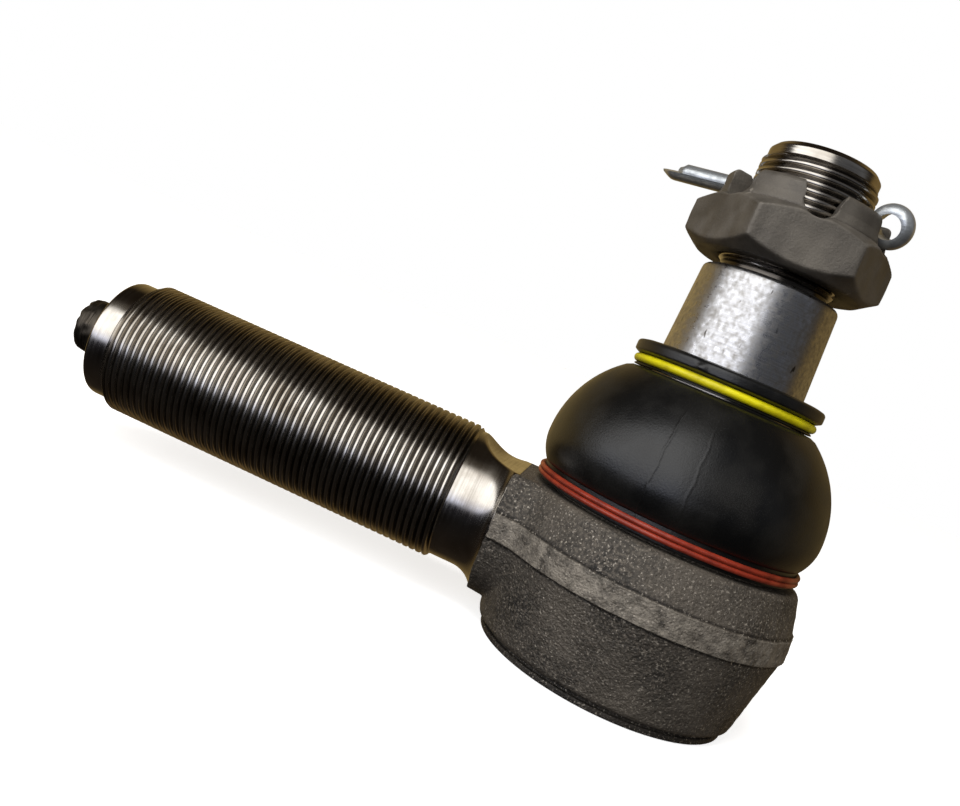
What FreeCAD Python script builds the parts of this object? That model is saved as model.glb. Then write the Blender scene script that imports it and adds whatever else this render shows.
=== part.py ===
"""Tie rod end: a forged housing on a threaded shank, its ball joint, boot, nut and split pin.

The row frame has its origin at the ball's centre, +Z up along the ball stud and -X along the
shank. Every size in SIZES is a cell of the sheet, in millimetres or degrees, and every sub-part
is a body whose sketches and features are bound to those cells.
"""
import FreeCAD, Part
import math
import os
import re
import Sketcher

SIZES = {
    # Ball joint
    "ball_radius": 19.0,
    "ball_flat_height": 16.0,
    "running_gap": 0.05,
    "body_gap": 0.3,
    "liner_wall": 1.45,
    "liner_low_angle": 40.0,
    "liner_high_angle": 24.0,
    "shell_wall": 2.6,
    "shell_split_gap": 0.8,
    "shell_high_angle": 26.6,
    "seat_gap": 0.05,
    "pressure_ring_height": 1.5,
    "pressure_ring_opening": 1.2,
    "spring_height": 2.7,
    "spring_thickness": 1.2,
    "spring_width": 7.7,
    "spring_rim_gap": 0.5,
    "ball_to_cover_gap": 0.3,
    "cover_height": 1.9,
    "cover_ledge": 1.2,
    "cover_chamfer": 1.5,
    "cover_dish_radius": 17.0,
    "cover_dish_depth": 0.6,
    "seal_wire_radius": 0.43,
    # Forged head of the housing
    "head_wall": 8.5,
    "band_height": 5.2,
    "band_step": 0.2,
    "band_bevel": 0.3,
    "upper_draft": 2.5,
    "lower_draft": 3.75,
    "top_step": 1.3,
    "top_edge_bevel": 0.55,
    "roll_lip_height": 0.7,
    "roll_groove_height": 0.8,
    "roll_lip_reach": 1.0,
    "roll_lip_rise": 0.5,
    "roll_lip_wall": 2.4,
    "roll_groove_wall": 1.6,
    "land_wall": 1.8,
    "stud_lean": 25.2,
    "opening_gap": 0.8,
    # Arm, turned neck and shank
    "arm_root_radius": 20.0,
    "arm_radius": 17.2,
    "arm_step": 0.6,
    "neck_length": 11.0,
    "neck_radius": 14.1,
    "neck_fillet": 5.95,
    "neck_relief": 5.0,
    "scoop_lift": 0.4,
    "scoop_reach": 2.8,
    "scoop_run": 6.2,
    "scoop_fillet": 7.35,
    "shank_radius": 15.0,
    "thread_length": 78.0,
    "thread_bevel_run": 0.8,
    "pilot_radius": 13.4,
    "pilot_length": 4.7,
    "pilot_bevel": 0.6,
    "stub_radius": 6.1,
    "stub_length": 8.6,
    "stub_bevel": 1.0,
    # Boot and its rings
    "foot_gap": 0.6,
    "foot_height": 3.6,
    "foot_wall": 2.3,
    "land_rise": 0.1,
    "clamp_wire_radius": 0.7,
    "clamp_wire_pitch": 1.35,
    "clamp_lift": 0.4,
    "clamp_grip": 0.05,
    "boot_bulge": 1.8,
    "boot_shoulder": 0.3,
    "boot_low_height": 5.8,
    "boot_high_height": 19.1,
    "boot_wall": 2.3,
    "boot_mouth_gap": 0.5,
    "boot_crown_inset": 0.4,
    # Collar that rides on the stud
    "insert_wall": 1.35,
    "collar_wall": 1.25,
    "collar_foot_height": 0.4,
    "collar_foot_inset": 0.9,
    "collar_foot_bevel": 0.3,
    "collar_groove_height": 2.0,
    "lip_root_height": 0.5,
    "lip_height": 2.4,
    "lip_reach": 2.25,
    "lip_root_inset": 1.0,
    "lip_bevel": 0.6,
    "lip_roof": 0.6,
    "yellow_wire_radius": 0.9,
    # Ball stud
    "stud_neck_radius": 11.0,
    "stud_neck_height": 27.0,
    "stud_flare_height": 9.0,
    "stud_seat_radius": 15.0,
    "taper_length": 18.1,
    "taper_slope": 0.05,
    "taper_bevel": 1.0,
    "undercut_radius": 11.4,
    "undercut_length": 2.6,
    "thread_radius": 12.0,
    "stud_proud": 8.2,
    "lead_length": 3.5,
    "lead_step": 0.4,
    "lead_bevel": 0.8,
    "end_radius": 10.3,
    # Castle nut and split pin
    "nut_lift": 2.3,
    "hex_half_width": 18.0,
    "hex_height": 11.0,
    "nut_face_radius": 16.9,
    "hex_bevel_height": 2.6,
    "crown_wall": 4.8,
    "crown_height": 5.2,
    "crown_bevel": 2.2,
    "slot_radius": 3.4,
    "slot_depth": 0.9,
    "slot_flare": 1.0,
    "cut_margin": 1.0,
    "pin_turn": -28.0,
    "pin_lift": 5.4,
    "pin_radius": 2.0,
    "pin_hole_gap": 0.3,
    "pin_split": 0.12,
    "pin_short_reach": 30.6,
    "pin_tail": 3.4,
    "pin_point_depth": 1.4,
    "pin_tip_height": 0.4,
    "eye_radius": 3.5,
    "eye_wire_radius": 1.12,
    "eye_drop": 0.3,
}

# Radii of the ball joint, each piece fitted on the one inside it
LINER_IN = "(ball_radius + running_gap)"
LINER_OUT = f"({LINER_IN} + liner_wall)"
SHELL_IN = f"({LINER_OUT} + running_gap)"
BORE = f"({SHELL_IN} + shell_wall)"
SHELL_OUT = f"({BORE} - seat_gap)"
COVER_BORE = f"({BORE} + cover_ledge)"
COVER_OUT = f"({COVER_BORE} - seat_gap)"
BAND = f"({BORE} + head_wall)"

# Heights of the ball joint, from the ball's centre
SHELL_TOP = f"({SHELL_IN} * sin(shell_high_angle))"
COVER_TOP = "(ball_radius + ball_to_cover_gap)"
COVER_LOW = f"({COVER_TOP} + cover_height)"
SPRING_TOP = f"({COVER_TOP} - spring_height)"
SHELL_LOW = f"({SPRING_TOP} - pressure_ring_height)"
HEAD_LOW = f"({COVER_LOW} + roll_lip_height)"
ROLL_TOP = f"({COVER_LOW} - roll_lip_rise)"
GROOVE_TOP = f"({ROLL_TOP} - roll_groove_height)"
HEAD_TOP = f"({SHELL_TOP} + top_step)"

# Boot foot and the housing's land that it grips
LAND = f"({BORE} + land_wall)"
FOOT_IN = f"({LAND} + running_gap)"
FOOT_OUT = f"({LAND} + foot_wall)"
FOOT_LOW = f"({HEAD_TOP} + foot_gap)"
FOOT_TOP = f"({FOOT_LOW} + foot_height)"
LAND_TOP = f"({FOOT_TOP} + land_rise)"
CLAMP_RADIUS = f"({FOOT_OUT} + clamp_wire_radius - clamp_grip)"
CLAMP_LOW = f"({FOOT_LOW} + clamp_wire_radius + clamp_lift)"
BOOT_RADIUS = f"({FOOT_OUT} + boot_shoulder + boot_bulge)"
BOOT_MIDDLE = f"({FOOT_TOP} + boot_low_height)"
BOOT_TOP = f"({BOOT_MIDDLE} + boot_high_height)"

# Collar stack on the stud's seat
INSERT_IN = "(stud_seat_radius + running_gap)"
INSERT_OUT = f"({INSERT_IN} + insert_wall)"
COLLAR_GROOVE = f"({INSERT_OUT} + collar_wall)"
LIP_RADIUS = f"({COLLAR_GROOVE} + lip_reach)"
COLLAR_LOW = f"({BOOT_TOP} + body_gap)"
GROOVE_LOW = f"({COLLAR_LOW} + collar_foot_height)"
LIP_LOW = f"({GROOVE_LOW} + collar_groove_height + lip_root_height)"
COLLAR_TOP = f"({LIP_LOW} + lip_height)"
YELLOW_RADIUS = f"({COLLAR_GROOVE} + yellow_wire_radius - clamp_grip)"
YELLOW_HEIGHT = f"({GROOVE_LOW} + collar_groove_height / 2)"

# Stud, nut and pin heights
TAPER_TOP = f"({COLLAR_TOP} + taper_length)"
TAPER_END = "(stud_seat_radius - taper_length * taper_slope)"
NUT_LOW = f"({TAPER_TOP} + taper_bevel + nut_lift)"
HEX_TOP = f"({NUT_LOW} + hex_height)"
NUT_TOP = f"({HEX_TOP} + crown_height)"
SLOT_LOW = f"({HEX_TOP} - slot_depth)"
PIN_HEIGHT = f"({SLOT_LOW} + pin_lift)"
STUD_TOP = f"({NUT_TOP} + stud_proud)"
NUT_BORE = "(thread_radius + running_gap)"
CROWN_RADIUS = "(thread_radius + crown_wall)"

WORD = re.compile(r"[a-z][a-z_]*[a-z]")


def bound(formula):
    """Return a formula with each size's name turned into its cell, as in Sizes.ball_radius."""
    return WORD.sub(lambda word: "Sizes." + word[0] if word[0] in SIZES else word[0], formula)


def make_sheet(doc):
    """Write every size into the sheet as plain text with its name as the alias."""
    sheet = doc.addObject("Spreadsheet::Sheet", "Sizes")
    for row, (name, value) in enumerate(SIZES.items(), start=1):
        sheet.set(f"A{row}", str(value))
        sheet.setAlias(f"A{row}", name)
    doc.recompute()


def make_body(doc, name):
    """Return a new body whose label is its node's name."""
    body = doc.addObject("PartDesign::Body", name)
    body.Label = name
    return body


def new_sketch(body, name, role):
    """Return an empty sketch on one of the body's own origin planes."""
    sketch = body.newObject("Sketcher::SketchObject", name)
    plane = next(item for item in body.Origin.OriginFeatures if item.Role == role)
    sketch.AttachmentSupport = [(plane, "")]
    sketch.MapMode = "FlatFace"
    return sketch


def value_of(sketch, formula):
    """Return the number that a formula has now."""
    return float(sketch.evalExpression(bound(formula)))


def bind(sketch, index, formula):
    """Tie one constraint of a sketch to a formula of the sheet's cells."""
    sketch.setExpression(f"Constraints[{index}]", bound(formula))


def arc_between(start, end, radius):
    """Return the short arc from start to end, a left turn for a plus radius, else a right turn."""
    chord = end - start
    middle = (start + end) / 2
    left = FreeCAD.Vector(-chord.y, chord.x, 0).normalize()
    offset = math.sqrt(max(radius ** 2 - (chord.Length / 2) ** 2, 0))
    centre = middle + left * math.copysign(offset, radius)
    first, last = (start, end) if radius > 0 else (end, start)
    angles = [math.atan2(point.y - centre.y, point.x - centre.x) for point in (first, last)]
    circle = Part.Circle(centre, FreeCAD.Vector(0, 0, 1), abs(radius))
    return Part.ArcOfCircle(circle, angles[0], angles[1])


def pin_corner(sketch, edge, end, corner, point):
    """Hold one end of a sketch edge at its corner's two formulas."""
    for kind, axis, formula, value in (
        ("DistanceX", -2, corner[0], point.x),
        ("DistanceY", -1, corner[1], point.y),
    ):
        if formula == "0":
            sketch.addConstraint(Sketcher.Constraint("PointOnObject", edge, end, axis))
            continue
        index = sketch.addConstraint(Sketcher.Constraint(kind, -1, 1, edge, end, value))
        bind(sketch, index, formula)


def draw(body, name, role, corners):
    """Return a sketch of a closed outline whose corners are pairs of formulas.

    A corner's third formula, where it has one, is the radius of the arc that leads to it. The
    arc turns left on the way, or right with a minus sign before the formula.
    """
    sketch = new_sketch(body, name, role)
    points = [
        FreeCAD.Vector(value_of(sketch, corner[0]), value_of(sketch, corner[1]), 0)
        for corner in corners
    ]
    ends = []
    for index, corner in enumerate(corners):
        start = points[index - 1]
        if len(corner) == 2:
            edge = sketch.addGeometry(Part.LineSegment(start, points[index]))
            ends.append((edge, 1, 2))
            continue
        radius = value_of(sketch, corner[2])
        edge = sketch.addGeometry(arc_between(start, points[index], radius))
        ends.append((edge, 1, 2) if radius > 0 else (edge, 2, 1))
    for index, corner in enumerate(corners):
        edge, start_end, last_end = ends[index]
        previous = ends[index - 1]
        sketch.addConstraint(
            Sketcher.Constraint("Coincident", previous[0], previous[2], edge, start_end)
        )
        pin_corner(sketch, edge, last_end, corner, points[index])
        if len(corner) == 3:
            radius = abs(value_of(sketch, corner[2]))
            held = sketch.addConstraint(Sketcher.Constraint("Radius", edge, radius))
            bind(sketch, held, f"abs({corner[2]})")
    return sketch


def turn(body, name, corners, axis="V_Axis", kind="Revolution"):
    """Add or cut an outline turned about the sketch's upright axis, or its level one."""
    sketch = draw(body, f"{name}_outline", "XZ_Plane", corners)
    feature = body.newObject(f"PartDesign::{kind}", name)
    feature.Profile = sketch
    feature.ReferenceAxis = (sketch, [axis])
    feature.Angle = 360
    return feature


def punch(body, name, sketch):
    """Cut a sketch right through the body, both ways from its plane."""
    feature = body.newObject("PartDesign::Pocket", name)
    feature.Profile = sketch
    feature.Type = "ThroughAll"
    feature.Midplane = True
    return feature


def face_pin(body):
    """Turn a body about the stud's axis so that its X axis lies along the split pin."""
    axis = FreeCAD.Vector(0, 0, 1)
    turned = FreeCAD.Rotation(axis, SIZES["pin_turn"])
    body.Placement = FreeCAD.Placement(FreeCAD.Vector(), turned)
    body.setExpression("Placement.Rotation.Angle", bound("pin_turn"))


def sphere_radius_at(radius, height):
    """Return the formula of a sphere's radius at a height above its centre."""
    return f"sqrt({radius}^2 - ({height})^2)"


# ---------------------------------------------------------------- housing

def lean_opening(height):
    """Return the radius that the leaning stud neck needs at a height."""
    return (
        f"({height} * tan(stud_lean) + stud_neck_radius / cos(stud_lean) + opening_gap)"
    )


def housing_arm(body):
    """Add the arm, the turned neck, the plain thread cylinder, the pilot and the stub."""
    neck_end = f"({BAND} + neck_length)"
    thread_end = f"({neck_end} + thread_length)"
    pilot_end = f"({thread_end} + pilot_length)"
    stub_end = f"({pilot_end} + stub_length)"
    rise = "(shank_radius - neck_radius)"
    corners = [
        (f"-({COVER_BORE} + body_gap)", "0"),
        (f"-{stub_end}", "0"),
        (f"-{stub_end}", "stub_radius - stub_bevel"),
        (f"-({stub_end} - stub_bevel)", "stub_radius", "-stub_bevel"),
        (f"-{pilot_end}", "stub_radius"),
        (f"-{pilot_end}", "pilot_radius - pilot_bevel"),
        (f"-({pilot_end} - pilot_bevel)", "pilot_radius"),
        (f"-{thread_end}", "pilot_radius"),
        (f"-({thread_end} - thread_bevel_run)", "shank_radius"),
        (f"-{neck_end}", "shank_radius"),
        (f"-({neck_end} - {rise})", "neck_radius"),
        (f"-({BAND} + neck_relief)", "neck_radius"),
        (f"-{BAND}", "arm_radius - arm_step", "neck_fillet"),
        (f"-{BAND}", "arm_radius"),
        (f"-({COVER_BORE} + body_gap)", "arm_root_radius"),
    ]
    turn(body, "arm_and_shank", corners, axis="H_Axis")


def housing_scoop(body):
    """Cut away all that stands over the head's top, out to where the neck begins."""
    floor = f"({HEAD_TOP} + scoop_lift)"
    start = f"({BAND} + scoop_reach)"
    rise = "(scoop_fillet - sqrt(scoop_fillet^2 - scoop_run^2))"
    corners = [
        ("0", HEAD_TOP),
        (f"{BAND} - upper_draft", HEAD_TOP),
        (f"{BAND} - upper_draft + scoop_lift", floor),
        (start, floor),
        (f"{start} + scoop_run", f"{floor} + {rise}", "scoop_fillet"),
        (f"{start} + scoop_run", "2 * arm_root_radius"),
        ("0", "2 * arm_root_radius"),
    ]
    turn(body, "top_scoop", corners, kind="Groove")


def housing_head(body):
    """Add the forged head: drafted walls, trimmed band, boot land, bore and rolled lower lip."""
    liner_clear = f"({sphere_radius_at(LINER_OUT, SHELL_TOP)} + 2 * body_gap)"
    corners = [
        (BORE, f"-{COVER_TOP}"),
        (COVER_BORE, f"-{COVER_TOP}"),
        (COVER_BORE, f"-{COVER_LOW}"),
        (f"{COVER_BORE} - roll_lip_reach", f"-{COVER_LOW}"),
        (f"{COVER_BORE} - roll_lip_reach", f"-{HEAD_LOW}"),
        (f"{COVER_BORE} + roll_lip_wall", f"-{HEAD_LOW}"),
        (f"{COVER_BORE} + roll_lip_wall", f"-{ROLL_TOP}"),
        (f"{COVER_BORE} + roll_groove_wall", f"-{ROLL_TOP}"),
        (f"{COVER_BORE} + roll_groove_wall", f"-{GROOVE_TOP}"),
        (f"{BAND} - lower_draft", f"-{GROOVE_TOP}"),
        (f"{BAND} - band_step", "-band_height / 2"),
        (BAND, "-band_height / 2 + band_bevel"),
        (BAND, "band_height / 2 - band_bevel"),
        (f"{BAND} - band_step", "band_height / 2"),
        (f"{BAND} - upper_draft", f"{HEAD_TOP} - top_edge_bevel"),
        (f"{BAND} - upper_draft - top_edge_bevel", HEAD_TOP),
        (LAND, HEAD_TOP),
        (LAND, LAND_TOP),
        (lean_opening(LAND_TOP), LAND_TOP),
        (f"max({liner_clear}; {lean_opening(SHELL_TOP)})", f"{SHELL_TOP} + seat_gap"),
        (BORE, f"{SHELL_TOP} + seat_gap"),
    ]
    turn(body, "head", corners)


def make_housing(doc):
    """Return the forged housing with its shank."""
    body = make_body(doc, "housing")
    housing_arm(body)
    housing_scoop(body)
    housing_head(body)
    return body


# ---------------------------------------------------------------- ball joint internals

def make_ball_stud(doc):
    """Return the ball stud: flattened ball, neck, seat, taper, thread cylinder and cross hole."""
    body = make_body(doc, "ball_stud")
    lead_low = f"({STUD_TOP} - lead_length)"
    corners = [
        ("0", "-ball_flat_height"),
        (sphere_radius_at("ball_radius", "ball_flat_height"), "-ball_flat_height"),
        ("ball_radius", "0", "ball_radius"),
        ("stud_neck_radius", sphere_radius_at("ball_radius", "stud_neck_radius"), "ball_radius"),
        ("stud_neck_radius", "stud_neck_height"),
        ("stud_seat_radius", "stud_neck_height + stud_flare_height"),
        ("stud_seat_radius", COLLAR_TOP),
        (TAPER_END, TAPER_TOP),
        (f"{TAPER_END} - taper_bevel", f"{TAPER_TOP} + taper_bevel", "taper_bevel"),
        ("undercut_radius", f"{TAPER_TOP} + taper_bevel"),
        ("undercut_radius", f"{TAPER_TOP} + taper_bevel + undercut_length"),
        ("thread_radius", f"{TAPER_TOP} + 2 * taper_bevel + undercut_length"),
        ("thread_radius", lead_low),
        ("thread_radius - lead_step", f"{STUD_TOP} - 2 * lead_bevel"),
        ("end_radius", STUD_TOP),
        ("0", STUD_TOP),
    ]
    turn(body, "stud", corners)
    hole = new_sketch(body, "cross_hole_outline", "YZ_Plane")
    height = value_of(hole, PIN_HEIGHT)
    radius = value_of(hole, "pin_radius + pin_hole_gap")
    circle = Part.Circle(FreeCAD.Vector(0, height, 0), FreeCAD.Vector(0, 0, 1), radius)
    hole.addGeometry(circle)
    hole.addConstraint(Sketcher.Constraint("PointOnObject", 0, 3, -2))
    bind(hole, hole.addConstraint(Sketcher.Constraint("DistanceY", -1, 1, 0, 3, height)), PIN_HEIGHT)
    held = hole.addConstraint(Sketcher.Constraint("Radius", 0, radius))
    bind(hole, held, "pin_radius + pin_hole_gap")
    punch(body, "cross_hole", hole)
    face_pin(body)
    return body


def make_ball_liner(doc):
    """Return the thin liner between the ball and its shells, open at both poles."""
    body = make_body(doc, "ball_liner")
    corners = [
        (f"{LINER_OUT} * cos(liner_low_angle)", f"-{LINER_OUT} * sin(liner_low_angle)"),
        (LINER_OUT, "0", LINER_OUT),
        (f"{LINER_OUT} * cos(liner_high_angle)", f"{LINER_OUT} * sin(liner_high_angle)", LINER_OUT),
        (f"{LINER_IN} * cos(liner_high_angle)", f"{LINER_IN} * sin(liner_high_angle)"),
        (LINER_IN, "0", f"-{LINER_IN}"),
        (f"{LINER_IN} * cos(liner_low_angle)", f"-{LINER_IN} * sin(liner_low_angle)", f"-{LINER_IN}"),
    ]
    turn(body, "liner", corners)
    return body


def make_upper_shell(doc):
    """Return the bearing shell over the ball's middle, seated under the housing's shoulder."""
    body = make_body(doc, "upper_bearing_shell")
    low = "(shell_split_gap / 2)"
    corners = [
        (SHELL_OUT, low),
        (SHELL_OUT, SHELL_TOP),
        (sphere_radius_at(SHELL_IN, SHELL_TOP), SHELL_TOP),
        (sphere_radius_at(SHELL_IN, low), low, f"-{SHELL_IN}"),
    ]
    turn(body, "upper_shell", corners)
    return body


def make_lower_shell(doc):
    """Return the bearing shell under the ball's middle, pressed up by the disc spring."""
    body = make_body(doc, "lower_bearing_shell")
    top = "(shell_split_gap / 2)"
    corners = [
        (SHELL_OUT, f"-{SHELL_LOW}"),
        (SHELL_OUT, f"-{top}"),
        (sphere_radius_at(SHELL_IN, top), f"-{top}"),
        (sphere_radius_at(SHELL_IN, SHELL_LOW), f"-{SHELL_LOW}", f"-{SHELL_IN}"),
    ]
    turn(body, "lower_shell", corners)
    return body


def make_pressure_ring(doc):
    """Return the flat ring between the disc spring and the lower shell."""
    body = make_body(doc, "pressure_ring")
    inner = f"({sphere_radius_at(SHELL_IN, SHELL_LOW)} + pressure_ring_opening)"
    corners = [
        (inner, f"-{SHELL_LOW}"),
        (inner, f"-{SPRING_TOP}"),
        (SHELL_OUT, f"-{SPRING_TOP}"),
        (SHELL_OUT, f"-{SHELL_LOW}"),
    ]
    turn(body, "ring", corners)
    return body


def make_disc_spring(doc):
    """Return the coned disc spring that loads the ball joint against the cover."""
    body = make_body(doc, "disc_spring")
    outer = f"({SHELL_OUT} - spring_rim_gap)"
    corners = [
        (f"{outer} - spring_width", f"-({SPRING_TOP} + spring_thickness)"),
        (outer, f"-{COVER_TOP}"),
        (outer, f"-({COVER_TOP} - spring_thickness)"),
        (f"{outer} - spring_width", f"-{SPRING_TOP}"),
    ]
    turn(body, "spring", corners)
    return body


def make_closing_cover(doc):
    """Return the round cover that closes the housing's bore from below."""
    body = make_body(doc, "closing_cover")
    dish = f"{COVER_LOW} - cover_dish_depth"
    corners = [
        ("0", f"-({dish})"),
        ("cover_dish_radius", f"-({dish})"),
        ("cover_dish_radius + cover_dish_depth", f"-{COVER_LOW}"),
        (COVER_OUT, f"-{COVER_LOW}"),
        (COVER_OUT, f"-({COVER_TOP} + cover_chamfer)"),
        (f"{COVER_OUT} - cover_chamfer", f"-{COVER_TOP}"),
        ("0", f"-{COVER_TOP}"),
    ]
    turn(body, "cover", corners)
    return body


def wire_ring(body, name, radius, height, wire):
    """Add one round ring of wire about Z at a radius and a height."""
    ring = body.newObject("PartDesign::AdditiveTorus", name)
    ring.setExpression("Radius1", bound(radius))
    ring.setExpression("Radius2", bound(wire))
    ring.setExpression("Placement.Base.z", bound(height))
    return ring


def make_cover_seal(doc):
    """Return the rubber ring in the corner that the cover's chamfer leaves."""
    body = make_body(doc, "cover_seal")
    radius = f"{COVER_BORE} - seal_wire_radius"
    wire_ring(body, "seal", radius, f"-({COVER_TOP} + seal_wire_radius)", "seal_wire_radius")
    return body


# ---------------------------------------------------------------- boot and rings

def make_boot(doc):
    """Return the rubber boot: a clamped foot and a bulged wall of even thickness."""
    body = make_body(doc, "boot")
    rim = f"({FOOT_OUT} + boot_shoulder)"
    rim_height = f"({FOOT_TOP} + land_rise)"
    mouth = f"({INSERT_OUT} + boot_mouth_gap)"
    crown = f"({LIP_RADIUS} - boot_crown_inset)"
    low_step = f"({BOOT_MIDDLE} - {rim_height})"
    low_arc = f"(({low_step}^2 + boot_bulge^2) / (2 * boot_bulge))"
    narrowing = f"({BOOT_RADIUS} - {crown})"
    high_arc = f"((boot_high_height^2 + {narrowing}^2) / (2 * {narrowing}))"
    high_in = f"({high_arc} - boot_wall)"
    low_in = f"({low_arc} - boot_wall)"
    mouth_run = f"({mouth} - ({BOOT_RADIUS} - {high_arc}))"
    mouth_height = f"({BOOT_MIDDLE} + sqrt({high_in}^2 - {mouth_run}^2))"
    foot_run = f"({FOOT_IN} - ({BOOT_RADIUS} - {low_arc}))"
    foot_height = f"({BOOT_MIDDLE} - sqrt({low_in}^2 - {foot_run}^2))"
    corners = [
        (FOOT_IN, FOOT_LOW),
        (FOOT_OUT, FOOT_LOW),
        (FOOT_OUT, f"{FOOT_TOP} - land_rise"),
        (rim, rim_height),
        (BOOT_RADIUS, BOOT_MIDDLE, low_arc),
        (crown, BOOT_TOP, high_arc),
        (mouth, BOOT_TOP),
        (mouth, mouth_height),
        (f"{BOOT_RADIUS} - boot_wall", BOOT_MIDDLE, f"-{high_in}"),
        (FOOT_IN, foot_height, f"-{low_in}"),
    ]
    turn(body, "bellows", corners)
    return body


def make_boot_collar(doc):
    """Return the rubber collar that seals on the stud, with its wire groove and sealing lip."""
    body = make_body(doc, "boot_collar")
    groove_top = f"({GROOVE_LOW} + collar_groove_height)"
    insert_top = f"({COLLAR_TOP} - lip_roof)"
    corners = [
        (INSERT_OUT, COLLAR_LOW),
        (f"{LIP_RADIUS} - collar_foot_inset", COLLAR_LOW),
        (f"{LIP_RADIUS} - collar_foot_inset - collar_foot_bevel", GROOVE_LOW),
        (COLLAR_GROOVE, GROOVE_LOW),
        (COLLAR_GROOVE, groove_top),
        (f"{LIP_RADIUS} - lip_root_inset", groove_top),
        (LIP_RADIUS, LIP_LOW),
        (LIP_RADIUS, f"{COLLAR_TOP} - lip_bevel"),
        (f"{LIP_RADIUS} - lip_bevel", COLLAR_TOP),
        (INSERT_IN, COLLAR_TOP),
        (INSERT_IN, insert_top),
        (INSERT_OUT, insert_top),
    ]
    turn(body, "collar", corners)
    return body


def make_collar_insert(doc):
    """Return the steel ring moulded into the collar, which slides round the stud."""
    body = make_body(doc, "collar_insert")
    corners = [
        (INSERT_IN, COLLAR_LOW),
        (INSERT_OUT, COLLAR_LOW),
        (INSERT_OUT, f"{COLLAR_TOP} - lip_roof"),
        (INSERT_IN, f"{COLLAR_TOP} - lip_roof"),
    ]
    turn(body, "insert", corners)
    return body


def make_lower_clamp_ring(doc):
    """Return the red ring: two turns of round wire that hold the boot's foot."""
    body = make_body(doc, "lower_clamp_ring")
    wire_ring(body, "first_turn", CLAMP_RADIUS, CLAMP_LOW, "clamp_wire_radius")
    above = f"{CLAMP_LOW} + clamp_wire_pitch"
    wire_ring(body, "second_turn", CLAMP_RADIUS, above, "clamp_wire_radius")
    return body


def make_upper_clamp_ring(doc):
    """Return the yellow ring that holds the collar on its insert."""
    body = make_body(doc, "upper_clamp_ring")
    wire_ring(body, "wire", YELLOW_RADIUS, YELLOW_HEIGHT, "yellow_wire_radius")
    return body


# ---------------------------------------------------------------- nut and split pin

def nut_blank(body):
    """Add the hexagon's prism with one flat's centre on the X axis."""
    corner = "hex_half_width / cos(30)"
    corners = []
    for step in range(6):
        angle = 30 + 60 * step
        corners.append((f"{corner} * cos({angle})", f"{corner} * sin({angle})"))
    sketch = draw(body, "hexagon", "XY_Plane", corners)
    prism = body.newObject("PartDesign::Pad", "prism")
    prism.Profile = sketch
    prism.setExpression("Length", bound(HEX_TOP))
    return prism


def nut_bevels(body):
    """Cut the prism down to its face, and bevel its corners above and below."""
    far = "(2 * hex_half_width)"
    corner = "(hex_half_width / cos(30))"
    slope = f"(hex_bevel_height / ({corner} - nut_face_radius))"
    below = [
        ("0", "0"),
        (far, "0"),
        (far, f"{NUT_LOW} + {slope} * ({far} - nut_face_radius)"),
        ("nut_face_radius", NUT_LOW),
        ("0", NUT_LOW),
    ]
    turn(body, "under_bevel", below, kind="Groove")
    above = [
        ("nut_face_radius", HEX_TOP),
        (far, f"{HEX_TOP} - {slope} * ({far} - nut_face_radius)"),
        (far, f"{HEX_TOP} + cut_margin"),
        ("nut_face_radius", f"{HEX_TOP} + cut_margin"),
    ]
    turn(body, "top_bevel", above, kind="Groove")


def nut_crown(body):
    """Add the round crown and bore the nut through for its thread."""
    crown = [
        (NUT_BORE, f"{HEX_TOP} - cut_margin"),
        (CROWN_RADIUS, f"{HEX_TOP} - cut_margin"),
        (CROWN_RADIUS, f"{NUT_TOP} - crown_bevel"),
        (f"{CROWN_RADIUS} - crown_bevel", NUT_TOP, "crown_bevel"),
        (NUT_BORE, NUT_TOP),
    ]
    turn(body, "crown", crown)
    bore = [
        ("0", f"{NUT_LOW} - cut_margin"),
        (NUT_BORE, f"{NUT_LOW} - cut_margin"),
        (NUT_BORE, f"{NUT_TOP} + cut_margin"),
        ("0", f"{NUT_TOP} + cut_margin"),
    ]
    turn(body, "bore", bore, kind="Groove")


def nut_slots(body):
    """Cut three slots right across the crown, which gives six around it."""
    centre = f"({SLOT_LOW} + slot_radius)"
    over = f"{NUT_TOP} + cut_margin"
    corners = [
        ("slot_radius + slot_flare", over),
        ("-(slot_radius + slot_flare)", over),
        ("-slot_radius", centre),
        ("0", SLOT_LOW, "slot_radius"),
        ("slot_radius", centre, "slot_radius"),
    ]
    sketch = draw(body, "slot_outline", "YZ_Plane", corners)
    slot = punch(body, "slot", sketch)
    axis = next(item for item in body.Origin.OriginFeatures if item.Role == "Z_Axis")
    pattern = body.newObject("PartDesign::PolarPattern", "slots")
    pattern.Originals = [slot]
    pattern.Axis = (axis, [""])
    pattern.Angle = 120
    pattern.Occurrences = 3
    body.Tip = pattern


def make_castle_nut(doc):
    """Return the castle nut, a slot of its crown lying along the split pin."""
    body = make_body(doc, "castle_nut")
    nut_blank(body)
    nut_bevels(body)
    nut_crown(body)
    nut_slots(body)
    face_pin(body)
    return body


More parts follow.
